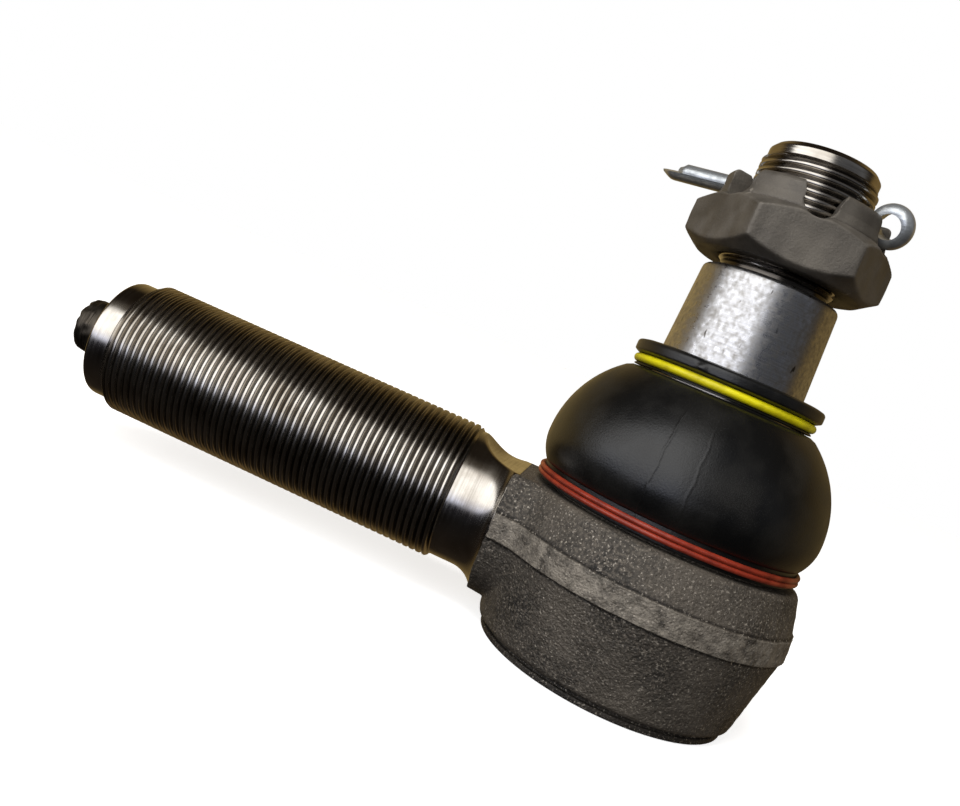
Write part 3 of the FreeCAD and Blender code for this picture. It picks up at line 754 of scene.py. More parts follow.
@dataclass(frozen=True)
class ZincPlate(Finish):
    """Bright zinc plate on drawn wire: pale, faintly blue, with long soft drawing lines."""

    main: str = "D4D8DA"
    second: str = "A5A9AB"
    cloud: Grain = Grain(2.2, 0.4, 0.75, fine=4.0)
    skin: Grain = Grain(0.5, 0.3, 0.7, (0.1, 0.1, 1.0), 2.0)
    depth: float = 0.015
    rough: tuple[float, float] = (0.3, 0.46)
    metallic: float = 0.85


@dataclass(frozen=True)
class Acetal(Finish):
    """Moulded acetal: milky white with faint flow clouds and a soft, smooth sheen."""

    main: str = "E4E0D6"
    second: str = "CFC8B8"
    cloud: Grain = Grain(7.0, 0.35, 0.7, fine=3.0)
    skin: Grain | None = None
    depth: float = 0.0
    rough: tuple[float, float] = (0.35, 0.5)
    ior: float = 1.48


class Finishes:
    """Every material of the object, made once."""

    def __init__(self) -> None:
        """Make each material from its finish."""
        threaded = {"threaded": True, "ring": 0.2}
        polished = {"rough": (0.12, 0.24), "depth": 0.004}
        sawn = {"rough": (0.4, 0.6), "main": "5C554C", "second": "332F2A", "depth": 0.08}
        self.forged = ForgedScale("forged_scale").material()
        self.thread = TurnedSteel("shank_thread_steel", **threaded).material()
        self.neck = TurnedSteel("turned_neck_steel", **polished).material()
        self.sawn = TurnedSteel("sawn_stub_steel", **sawn).material()
        self.stud_thread = TurnedSteel(
            "stud_thread_steel", axis=Axis.STUD, **threaded
        ).material()
        self.turned = TurnedSteel("turned_stud_steel", axis=Axis.STUD).material()
        self.ground = GroundSteel("ground_taper_steel").material()
        self.rubber = MouldedRubber("moulded_rubber").material()
        self.red = CoatedWire("red_coated_wire").material()
        self.yellow = CoatedWire("yellow_coated_wire", main="D6CB12", second="B5A80C").material()
        self.phosphate = Phosphate("phosphated_steel").material()
        self.zinc = ZincPlate("zinc_plated_wire").material()
        self.acetal = Acetal("moulded_acetal").material()


# ------------------------------------------------------------------ housing


@dataclass
class Housing:
    """The forged head with its arm, the turned neck, the threaded shank, its pilot and stub."""

    finishes: Finishes
    span: Span = field(default_factory=lambda: Span.of("housing"))
    wall_low: float = -19.9
    wall_top: float = 10.5
    lower_draft: float = 3.75
    upper_draft: float = 2.4
    band_half: float = 2.6
    band_stand: float = 0.4
    band_edge: float = 0.15
    wall_below_band: float = 0.25
    arm_radius: float = 17.2
    arm_trim: float = 0.5
    arm_trim_edge: float = 0.2
    arm_corner: float = 0.8
    arm_blend: float = 4.5
    bore: float = 23.15
    bore_low: float = -19.3
    cover_bore: float = 24.35
    cover_low: float = -21.2
    lip_lap: float = 1.0
    lip_wall: float = 2.4
    lip_root: float = -20.7
    groove_wall: float = 1.6
    wall_corner: tuple = ((0.0, 1.1), (0.12, 0.55), (0.45, 0.16), (0.95, 0.0))
    top_corner_share: float = 0.8
    swell: tuple[float, float] = (0.06, 8.0)
    pitting: tuple[float, float] = (0.035, 2.1)
    torn_band: tuple[float, float] = (1.9, 0.5)
    shell_top: float = 9.25
    land: float = 24.95
    land_top: float = 14.8
    open_low: float = 18.92
    open_top: float = 19.92
    neck_radius: float = 14.1
    neck_mouth: float = 16.6
    neck_run: float = 5.0
    scoop_reach: float = 2.8
    scoop_run: float = 6.2
    scoop_fillet: float = 7.35
    scoop_slope: float = 3.0
    scoop_edge: float = 0.5
    overlap: float = 1.2
    thread_radius: float = 15.0
    thread_start: float = 41.75
    pitch: float = 1.5
    thread_depth: float = 0.92
    pilot_radius: float = 13.4
    pilot_length: float = 4.7
    stub_radius: float = 6.1
    stub_length: float = 8.6
    stub_face: tuple[float, float] = (0.12, 1.9)
    stub_side: tuple[float, float] = (0.012, 2.3)

    @property
    def band(self) -> float:
        """Return the trimmed band's radius."""
        return self.span.radius

    def wall_radius(self, height: np.ndarray) -> np.ndarray:
        """Return the head's radius at a height: two drafted walls and the band between them.

        Args:
            height: Heights from the ball's centre.

        Returns:
            The radius at each height.
        """
        low, high = self.band_half - self.band_edge, self.band_half + self.band_edge
        inner = self.band - self.wall_below_band
        proud = inner + self.band_stand
        marks = [self.wall_low, -high, -low, low, high, self.wall_top]
        ends = [self.band - self.lower_draft, self.band - self.upper_draft]
        return np.interp(height, marks, [ends[0], inner, proud, proud, inner, ends[1]])

    def outer_radius(self, height: np.ndarray, angle: np.ndarray) -> np.ndarray:
        """Return the forging's reach at a height and an angle round the stud's axis.

        It is the larger of the head's radius and the arm's, where the arm's is the smaller of
        the way to its end face and the way to its side, each rounded where they meet.

        Args:
            height: Heights from the ball's centre.
            angle: Angles round the stud's axis, in radians.

        Returns:
            The reach at each height and angle.
        """
        head = self.wall_radius(height)
        marks = [self.band_half - self.arm_trim_edge, self.band_half + self.arm_trim_edge]
        trim = np.interp(np.abs(height), marks, [self.arm_trim, 0.0])
        side = np.sqrt(np.maximum(self.arm_radius ** 2 - height ** 2, LEAST)) + trim
        back = np.maximum(-np.cos(angle), LEAST)
        to_side = side / np.maximum(np.abs(np.sin(angle)), LEAST) * (np.cos(angle) < 0.0)
        arm = smooth_least(self.band / back, to_side, self.arm_corner)
        return smooth_most(head, np.minimum(arm, 2.0 * self.band), self.arm_blend)

    def inner_outline(self) -> np.ndarray:
        """Return the outline from the bore down over the cover's seat to the lip and its groove.

        Returns:
            Points as rows of radius and height.
        """
        bottom, cover = self.span.bottom, self.cover_bore
        lip, groove = cover + self.lip_wall, cover + self.groove_wall
        return rounded(
            [
                (self.bore, self.shell_top),
                (self.bore, self.bore_low),
                (cover, self.bore_low),
                (cover, self.cover_low),
                (cover - self.lip_lap, self.cover_low, 0.2),
                (cover - self.lip_lap, bottom, 0.3),
                (lip, bottom, 0.45),
                (lip, self.lip_root, 0.3),
                (groove, self.lip_root, 0.15),
                (groove, self.wall_low, 0.15),
                (groove + 0.4, self.wall_low),
            ]
        )

    def upper_outline(self) -> np.ndarray:
        """Return the outline from the top over the boot's land and the opening to the bore.

        Returns:
            Points as rows of radius and height.
        """
        return rounded(
            [
                (self.land + 0.3, self.wall_top),
                (self.land, self.wall_top, 0.2),
                (self.land, self.land_top, 0.3),
                (self.open_top, self.land_top, 0.5),
                (self.open_low, self.shell_top),
                (self.bore, self.shell_top),
            ]
        )

    def wall(self, angles: np.ndarray) -> tuple[np.ndarray, np.ndarray]:
        """Work out the outer wall: the forging's reach, less its corners, plus random lumps.

        Args:
            angles: Angles round the stud's axis, in radians.

        Returns:
            The rows' heights, and the radius by row and angle.
        """
        corner = np.array(self.wall_corner)
        edges = self.band_half + np.array([-0.2, -0.05, 0.1, 0.25])
        middle = np.linspace(self.wall_low + 1.3, self.wall_top - 1.1, 84)
        middle = np.union1d(middle, np.concatenate([-edges, edges]))
        ends = self.wall_low + corner[:, 0], self.wall_top - corner[::-1, 0]
        heights = np.concatenate([ends[0], middle, ends[1]])
        cuts = corner[:, 1], self.top_corner_share * corner[::-1, 1]
        insets = np.concatenate([cuts[0], 0.0 * middle, cuts[1]])
        level, around = np.broadcast_arrays(heights[:, None], angles[None, :])
        reach = self.outer_radius(level, around)
        points = Axis.STUD.place(reach, around, level)
        rough = self.swell[0] * lumps(points, self.swell[1], Seed.HEAD_SWELL)
        rough = rough + self.pitting[0] * lumps(points, self.pitting[1], Seed.HEAD_PITS)
        torn, fade = self.torn_band
        rough = rough * np.interp(np.abs(level), [self.band_half, self.band_half + fade], [torn, 1.0])
        return heights, reach - insets[:, None] + rough

    def forging(self) -> bpy.types.Object:
        """Return the head: lip, groove, walls and band, top, boot land, opening and bore.

        The rows of the bore, lip and top are plain circles, and the wall lies between them.

        Returns:
            The piece.
        """
        angles = full_turn(420)
        inside, above = self.inner_outline(), self.upper_outline()
        heights, reach = self.wall(angles)
        share = np.linspace(0.0, 1.0, 9)[1:-1, None]
        ledge = reach[-1] * (1 - share) + (self.land + 0.5) * share
        circles = [np.broadcast_to(part[:, :1], (len(part), len(angles))) for part in (inside, above)]
        radius = np.concatenate([circles[0], reach, ledge, circles[1]])
        tops = np.full(len(share), self.wall_top)
        height = np.concatenate([inside[:, 1], heights, tops, above[:, 1]])[:, None] + 0.0 * radius
        around = angles + 0.0 * radius
        points = Axis.STUD.place(radius, around, height)
        sheet = Sheet(points, np.stack([around * self.band, height], axis=-1))
        return piece("head_forging", [sheet], self.finishes.forged, Crease.FORGED)

    def neck(self) -> bpy.types.Object:
        """Return the turned neck: a fillet down to a waist, cut above by the head's round scoop.

        The scoop is level out to its start, and then rises on an arc. A point above it comes
        down to it.

        Returns:
            The piece.
        """
        run = self.neck_run
        rise = self.neck_mouth - self.neck_radius
        fillet = (run ** 2 + rise ** 2) / (2.0 * rise)
        far = np.linspace(0.0, run, 26)
        curve = self.neck_radius + fillet - np.sqrt(fillet ** 2 - (run - far) ** 2)
        outline = np.concatenate(
            [
                [[0.0, self.band - self.overlap], [self.neck_mouth, self.band - self.overlap]],
                np.stack([curve, self.band + far], axis=1),
                [[self.neck_radius, self.thread_start + 0.4], [0.0, self.thread_start + 0.4]],
            ]
        )
        sheet = turned(subdivided(outline, 0.5), Axis.SHANK, full_turn(160))
        points = sheet.points
        across = np.hypot(points[..., 0], points[..., 1]) - self.band - self.scoop_reach
        along = np.clip(across, 0.0, self.scoop_run)
        lift = self.scoop_fillet - np.sqrt(self.scoop_fillet ** 2 - along ** 2)
        lift = lift + self.scoop_slope * np.maximum(across - self.scoop_run, 0.0)
        floor = self.wall_top + 0.1 + lift
        points[..., 2] = smooth_least(points[..., 2], floor, self.scoop_edge)
        return piece("turned_neck", [sheet], self.finishes.neck, Crease.MACHINED)

    def thread(self) -> bpy.types.Object:
        """Return the shank's thread between its two end bevels.

        Returns:
            The piece.
        """
        end = -self.span.low[0] - self.stub_length - self.pilot_length
        screw = Screw(Axis.SHANK, self.thread_radius, self.pitch, self.thread_depth)
        start = self.thread_start

        def limit(height: np.ndarray) -> np.ndarray:
            """Return the radius that the two end bevels leave."""
            first = self.neck_radius + (height - start)
            return np.minimum(first, self.pilot_radius + (end - height))

        sheet = screw.sheet(start, end, limit, 96)
        return piece("shank_thread", [sheet], self.finishes.thread, Crease.ROUND)

    def pilot_and_stub(self) -> list[bpy.types.Object]:
        """Return the plain pilot past the thread, and the rough sawn stub past that.

        Returns:
            The two pieces.
        """
        far = -self.span.low[0]
        pilot_end = far - self.stub_length
        start = pilot_end - self.pilot_length - 0.8
        pilot = rounded(
            [
                (0.0, start),
                (self.pilot_radius, start),
                (self.pilot_radius, pilot_end, 0.9),
                (self.stub_radius, pilot_end),
                (0.0, pilot_end),
            ]
        )
        stub = rounded(
            [
                (0.0, pilot_end - 0.5),
                (self.stub_radius, pilot_end - 0.5),
                (self.stub_radius, far, 1.6),
                (0.0, far),
            ],
            10,
        )
        made = turned(subdivided(pilot, 0.8), Axis.SHANK, full_turn(128))
        rough = turned(subdivided(stub, 0.35), Axis.SHANK, full_turn(128))
        rough.points[..., 0] += self.stub_face[0] * lumps(
            rough.points, self.stub_face[1], Seed.STUB_FACE
        )
        swell = 1.0 + self.stub_side[0] * lumps(rough.points, self.stub_side[1], Seed.STUB_SIDE)
        rough.points[..., 1:] *= swell[..., None]
        return [
            piece("shank_pilot", [made], self.finishes.neck),
            piece("centre_stub", [rough], self.finishes.sawn, Crease.ROUND),
        ]

    def build(self) -> None:
        """Make every piece of the housing and set it on the housing's body."""
        for made in (self.forging(), self.neck(), self.thread(), *self.pilot_and_stub()):
            settle(made, "housing", "forged_steel", "housing")


@dataclass(frozen=True)
class Screw:
    """A right-hand screw thread with flat crests and rounded roots."""

    axis: Axis
    radius: float
    pitch: float
    depth: float
    marks: tuple = (0.0, 0.18, 0.23, 0.34, 0.44, 0.5, 0.56, 0.66, 0.77, 0.82)
    drops: tuple = (0.0, 0.0, 0.08, 0.55, 0.95, 1.0, 0.95, 0.55, 0.08, 0.0)

    def drop(self, height: np.ndarray, angle: np.ndarray) -> np.ndarray:
        """Return how deep the thread is, 0 at a crest and 1 at a root."""
        share = np.mod(height / self.pitch - angle / (2.0 * math.pi), 1.0)
        return np.interp(share, (*self.marks, 1.0), (*self.drops, 0.0))

    def sheet(self, start: float, end: float, limit: Limit, columns: int) -> Sheet:
        """Return the thread's surface, its rows laid along the helix and its ends closed.

        A point lies at the crest radius less its drop, or at the limit where that is smaller.

        Args:
            start: Height of the first end.
            end: Height of the last end.
            limit: Function that gives the greatest radius at each height.
            columns: Faces round the axis.

        Returns:
            The surface. Its pattern holds the drop and the height.
        """
        angles = full_turn(columns)
        turns = np.arange(math.floor(start / self.pitch) - 1, math.ceil(end / self.pitch) + 2)
        rows = (turns[:, None] + np.array(self.marks)[None, :]).ravel()
        height = (rows[:, None] + angles[None, :] / (2.0 * math.pi)) * self.pitch
        height = np.clip(height, start, end)
        drop = self.drop(height, angles[None, :])
        radius = np.minimum(self.radius - self.depth * drop, limit(height))
        points = self.axis.place(radius, angles + 0.0 * radius, height)
        ends = [self.axis.place(0.0 * angles, angles, 0.0 * angles + far) for far in (start, end)]
        points = np.concatenate([ends[0][None], points, ends[1][None]])
        pattern = np.stack([drop, height], axis=-1)
        return Sheet(points, np.concatenate([pattern[:1], pattern, pattern[-1:]]))


def settle(made: bpy.types.Object, body: str, slot: str, *nodes: str) -> None:
    """Set a piece on its body and hide the nodes it stands for.

    Args:
        made: The piece.
        body: The body that carries it.
        slot: The slot that its finish comes from. Not used.
        nodes: The nodes that it stands for.
    """
    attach(made, body)
    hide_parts(*nodes)


# ------------------------------------------------------------------ stud, nut and split pin


@dataclass
class PinLine:
    """The split pin's own directions: along it from tips to eye, level across it, and up."""

    height: float = 82.1
    turn: float = -28.0
    roll: float = 20.0

    def frame(self) -> np.ndarray:
        """Return the three directions as rows, the last two rolled about the first.

        Returns:
            The directions, one to a row.
        """
        turn, roll = math.radians(self.turn), math.radians(self.roll)
        along = np.array([math.cos(turn), math.sin(turn), 0.0])
        across = np.array([-math.sin(turn), math.cos(turn), 0.0])
        up = np.array([0.0, 0.0, 1.0])
        return np.array(
            [
                along,
                across * math.cos(roll) + up * math.sin(roll),
                up * math.cos(roll) - across * math.sin(roll),
            ]
        )

    def distance(self, points: np.ndarray) -> np.ndarray:
        """Return how far points are from the pin's middle line."""
        offset = points - np.array([0.0, 0.0, self.height])
        return np.linalg.norm(np.cross(offset, self.frame()[0]), axis=-1)


@dataclass
class BallStud:
    """The ball stud: its ball, neck, seat, ground taper, undercut and thread."""

    finishes: Finishes
    line: PinLine
    span: Span = field(default_factory=lambda: Span.of("ball_stud"))
    ball_radius: float = 19.0
    ball_flat: float = 16.0
    neck_radius: float = 11.0
    neck_top: float = 27.0
    seat_radius: float = 15.0
    seat_start: float = 36.0
    neck_fillets: tuple[float, float] = (8.0, 4.0)
    taper_low: float = 45.2
    taper_top: float = 63.3
    taper_end: float = 14.1
    overlap: float = 1.0
    taper_fillet: float = 1.3
    undercut: float = 11.4
    thread_radius: float = 12.0
    thread_start: float = 64.1
    thread_depth: float = 0.92
    pitch: float = 1.5
    lead: float = 2.6
    hole: float = 2.3
    hole_edge: float = 0.12
    hole_sink: float = 0.6
    end_step: float = 0.65
    end_bevel: float = 1.0

    def shank(self) -> bpy.types.Object:
        """Return the ball and neck: a sphere cut flat below, then a waist flaring to the seat.

        Returns:
            The piece.
        """
        low = math.asin(self.ball_flat / self.ball_radius)
        high = math.acos(self.neck_radius / self.ball_radius)
        sweep = np.linspace(-low, high, 60)
        ball = self.ball_radius * np.stack([np.cos(sweep), np.sin(sweep)], axis=1)
        above = rounded(
            [
                tuple(ball[-1]),
                (self.neck_radius, self.neck_top, self.neck_fillets[0]),
                (self.seat_radius, self.seat_start, self.neck_fillets[1]),
                (self.seat_radius, self.taper_low - self.overlap),
                (0.0, self.taper_low - self.overlap),
            ]
        )
        outline = np.concatenate([[[0.0, -self.ball_flat]], ball, above[1:]])
        made = turned(subdivided(outline, 1.0), Axis.STUD, full_turn(120))
        return piece("ball_and_neck", [made], self.finishes.turned)

    def taper(self) -> bpy.types.Object:
        """Return the ground taper with its rounded end.

        Returns:
            The piece.
        """
        outline = rounded(
            [
                (0.0, self.taper_low - self.overlap),
                (self.seat_radius, self.taper_low - self.overlap),
                (self.seat_radius, self.taper_low),
                (self.taper_end, self.taper_top + self.overlap, self.taper_fillet),
                (0.0, self.taper_top + self.overlap),
            ]
        )
        made = turned(subdivided(outline, 0.6), Axis.STUD, full_turn(144))
        return piece("ground_taper", [made], self.finishes.ground)

    def thread(self) -> bpy.types.Object:
        """Return the stud's thread with the undercut below it and its cross hole.

        Points nearer to the pin's line than the hole's radius sink towards the stud's axis.

        Returns:
            The piece.
        """
        start, end = self.thread_start, self.span.top - self.lead
        screw = Screw(Axis.STUD, self.thread_radius, self.pitch, self.thread_depth)

        def limit(height: np.ndarray) -> np.ndarray:
            """Return the radius that the undercut and the last bevel leave.

            Args:
                height: Heights along the stud.

            Returns:
                The largest radius at each height.
            """
            marks = [start, start + 1.3, start + 2.3, end - 0.8, end]
            reach = self.thread_radius
            sizes = [self.undercut - 0.4, self.undercut - 0.4, reach + 0.1, reach, reach - 0.8]
            return np.interp(height, marks, sizes)

        sheet = screw.sheet(start, end, limit, 168)
        # Painted shade: the undercut takes the full root darkening.
        sheet.pattern[..., 0] += sheet.pattern[..., 1] < start + 1.6
        inside = self.hole + self.hole_edge - self.line.distance(sheet.points)
        near = np.clip(inside / (2.0 * self.hole_edge), 0.0, 1.0)
        sheet.points[..., :2] *= (1.0 - self.hole_sink * near)[..., None]
        # Painted shade: the rim of the cross hole is darkened as the hole's shade.
        sheet.pattern[..., 0] += near
        return piece("stud_thread", [sheet], self.finishes.stud_thread, Crease.ROUND)

    def end(self) -> bpy.types.Object:
        """Return the smooth lead past the thread, with its bevelled flat end.

        Returns:
            The piece.
        """
        top, low = self.span.top, self.span.top - self.lead - 0.6
        reach, bevel = self.thread_radius - self.end_step, self.end_bevel
        outline = rounded(
            [
                (0.0, low),
                (reach, low),
                (reach, top - 1.1 * bevel, 0.5),
                (reach - bevel, top, 0.5),
                (0.0, top),
            ]
        )
        made = turned(subdivided(outline, 0.5), Axis.STUD, full_turn(144))
        return piece("stud_end", [made], self.finishes.turned)

    def build(self) -> None:
        """Make every piece of the stud and set it on the stud's body."""
        for made in (self.shank(), self.taper(), self.thread(), self.end()):
            settle(made, "stud", "machined_steel", "ball_stud")


@dataclass
class CastleNut:
    """The forged castle nut: a hexagon with soft corners, and a crown with six round slots."""

    finishes: Finishes
    line: PinLine
    span: Span = field(default_factory=lambda: Span.of("castle_nut"))
    half_width: float = 18.0
    face: float = 16.9
    bevel_height: float = 2.6
    hex_height: float = 11.0
    crown: float = 16.8
    crown_foot: float = 17.25
    crown_bevel: float = 2.3
    bore: float = 12.05
    slot_radius: float = 3.4
    slot_drop: float = 0.9
    softness: float = 90.0
    slot_flare: float = 4.2
    slot_edge: float = 1.3
    bore_bevel: float = 0.9
    edge_blends: tuple[float, float] = (0.4, 0.35)
    wear: tuple[float, float] = (0.05, 5.0)

    def hexagon(self, angle: np.ndarray) -> np.ndarray:
        """Return the hexagon's reach: the inverse of the sum of its six sides' high powers.

        Args:
            angle: Angles round the stud's axis, in radians.

        Returns:
            The reach at each angle.
        """
        flats = math.radians(self.line.turn) + np.arange(6) * math.pi / 3.0
        facing = np.maximum(np.cos(angle[..., None] - flats), 0.0) / self.half_width
        return (facing ** self.softness).sum(axis=-1) ** (-1.0 / self.softness)

    def slots(self, points: np.ndarray) -> np.ndarray:
        """Return the height of the nearest slot's floor: a half circle, then flaring sides.

        Args:
            points: Places on the nut.

        Returns:
            The floor's height under or over each place.
        """
        floor = self.span.bottom + self.hex_height - self.slot_drop
        ways = math.radians(self.line.turn) + np.arange(3) * math.pi / 3.0
        off = points[..., :1] * np.sin(ways) - points[..., 1:2] * np.cos(ways)
        off = np.abs(off).min(axis=-1)
        round_part = np.sqrt(np.maximum(self.slot_radius ** 2 - off ** 2, 0.0))
        sides = self.slot_flare * np.maximum(off - self.slot_radius * 0.985, 0.0)
        return floor + self.slot_radius - round_part + sides

    def body(self) -> bpy.types.Object:
        """Return the nut's surface: under face, sides, crown, top and bore.

        Side rows take the smallest of the hexagon's reach and two cones. Then every point that
        stands over a slot's floor comes down to it.

        Returns:
            The piece.
        """
        low, top = self.span.bottom, self.span.top
        shoulder = low + self.hex_height
        slope = self.bevel_height / (self.half_width / math.cos(math.pi / 6.0) - self.face)
        angles = full_turn(576)
        bore, bevel = self.bore, self.bore_bevel
        under = np.array([[bore, low + bevel], [bore + bevel, low], [self.face - 0.2, low]])
        under = subdivided(under, 1.0)
        sides = np.concatenate(
            [np.linspace(low, low + 3.4, 12), np.linspace(low + 3.8, shoulder - 3.8, 8)]
            + [np.linspace(shoulder - 3.4, shoulder, 12)]
        )
        first = self.face + (sides - low) / slope
        last = self.face + 0.25 + (shoulder - sides) / slope
        cones = smooth_least(first, last, self.edge_blends[0])[:, None]
        reach = smooth_least(self.hexagon(angles)[None, :], cones, self.edge_blends[1])
        above = rounded(
            [
                (self.crown_foot, shoulder),
                (self.crown, shoulder + 2.0, 1.5),
                (self.crown, top, self.crown_bevel * 1.25),
                (bore + 0.8, top),
                (bore, top - 0.8),
                (bore, low + bevel),
            ],
            9,
        )
        above = subdivided(above, 0.3)[1:]
        radius = np.concatenate(
            [under[:, :1] + 0.0 * angles, reach, above[:, :1] + 0.0 * angles], axis=0
        )
        height = np.concatenate([under[:, 1], sides, above[:, 1]])[:, None] + 0.0 * radius
        around = angles + 0.0 * radius
        worn = self.wear[0] * lumps(Axis.STUD.place(radius, around, height), self.wear[1], Seed.NUT)
        points = Axis.STUD.place(radius + worn * (radius > bore + 1.0), around, height)
        points[..., 2] = smooth_least(points[..., 2], self.slots(points), self.slot_edge)
        sheet = Sheet(points, np.stack([around * self.half_width, height], axis=-1))
        return piece("nut_body", [sheet], self.finishes.phosphate, Crease.SOFT)

    def build(self) -> None:
        """Make the nut and set it on the stud's body."""
        settle(self.body(), "stud", "phosphated_steel", "castle_nut")


@dataclass
class SplitPin:
    """The split pin: one half-round wire folded into an eye and two legs of unequal length."""

    finishes: Finishes
    line: PinLine
    radius: float = 1.95
    split: float = 0.05
    eye_radius: float = 2.45
    eye_place: float = 16.92
    bend_radius: float = 2.5
    short_reach: float = 30.4
    long_reach: float = 33.8
    point: float = 2.6
    blunt_point: float = 1.1
    thinnest: tuple[float, float] = (0.1, 0.55)

    def path(self) -> np.ndarray:
        """Return the wire's flat side as along and up: lower leg, eye and upper leg.

        Each leg is straight. An arc of the bend's radius leads outwards to the eye's circle,
        touching both, and the eye goes round the far side.

        Returns:
            Points as rows of place along the pin and height over its middle line.
        """
        drop = self.split + self.bend_radius
        reach = math.sqrt((self.eye_radius + self.bend_radius) ** 2 - drop ** 2)
        start = self.eye_place - reach
        meet = math.atan2(reach, drop)
        leg = np.linspace(-self.long_reach, start, 60)
        lower = np.stack([leg, 0.0 * leg - self.split], axis=1)
        bend = np.linspace(0.0, meet, 14)[1:]
        outwards = np.stack(
            [
                start + self.bend_radius * np.sin(bend),
                -drop + self.bend_radius * np.cos(bend),
            ],
            axis=1,
        )
        first = -math.pi / 2.0 - meet
        eye = np.linspace(first, -first, 72)[1:-1]
        around = self.eye_radius * np.stack([np.cos(eye), np.sin(eye)], axis=1)
        around[:, 0] += self.eye_place
        back = lower[::-1] * [1.0, -1.0]
        back = back[back[:, 0] > -self.short_reach]
        return np.concatenate([lower, outwards, around, outwards[::-1] * [1.0, -1.0], back])

    def build(self) -> None:
        """Make the pin by carrying a half disc along its path, thinned towards both tips."""
        flat = self.path()
        steps = np.gradient(flat, axis=0)
        steps /= np.linalg.norm(steps, axis=1, keepdims=True)
        outward = np.stack([steps[:, 1], -steps[:, 0]], axis=1)
        arc = np.linspace(0.0, math.pi, 17)
        half = np.stack([np.cos(arc), np.sin(arc)], axis=1)
        flat_side = np.stack([np.linspace(-1.0, 1.0, 9), np.zeros(9)], axis=1)[1:]
        section = np.concatenate([half, flat_side]) * self.radius
        runs = np.concatenate([[0.0], np.cumsum(np.linalg.norm(np.diff(flat, axis=0), axis=1))])
        lower = np.clip(runs / self.point, self.thinnest[0], 1.0) ** 0.5
        upper = np.clip((runs[-1] - runs) / self.blunt_point, self.thinnest[1], 1.0)
        scale = (lower * upper)[:, None, None]
        frame = self.line.frame()
        centre = np.array([0.0, 0.0, self.line.height])
        path = centre + flat[:, :1] * frame[0] + flat[:, 1:] * frame[2]
        tops = outward[:, :1] * frame[0] + outward[:, 1:] * frame[2]
        sides = np.broadcast_to(frame[1], path.shape)
        sheet = swept(path, sides, tops, section[None] * scale)
        made = piece("pin_wire", [sheet], self.finishes.zinc, Crease.MACHINED)
        settle(made, "pin", "zinc_plated_steel", "split_pin")


# ------------------------------------------------------------------ boot and rings


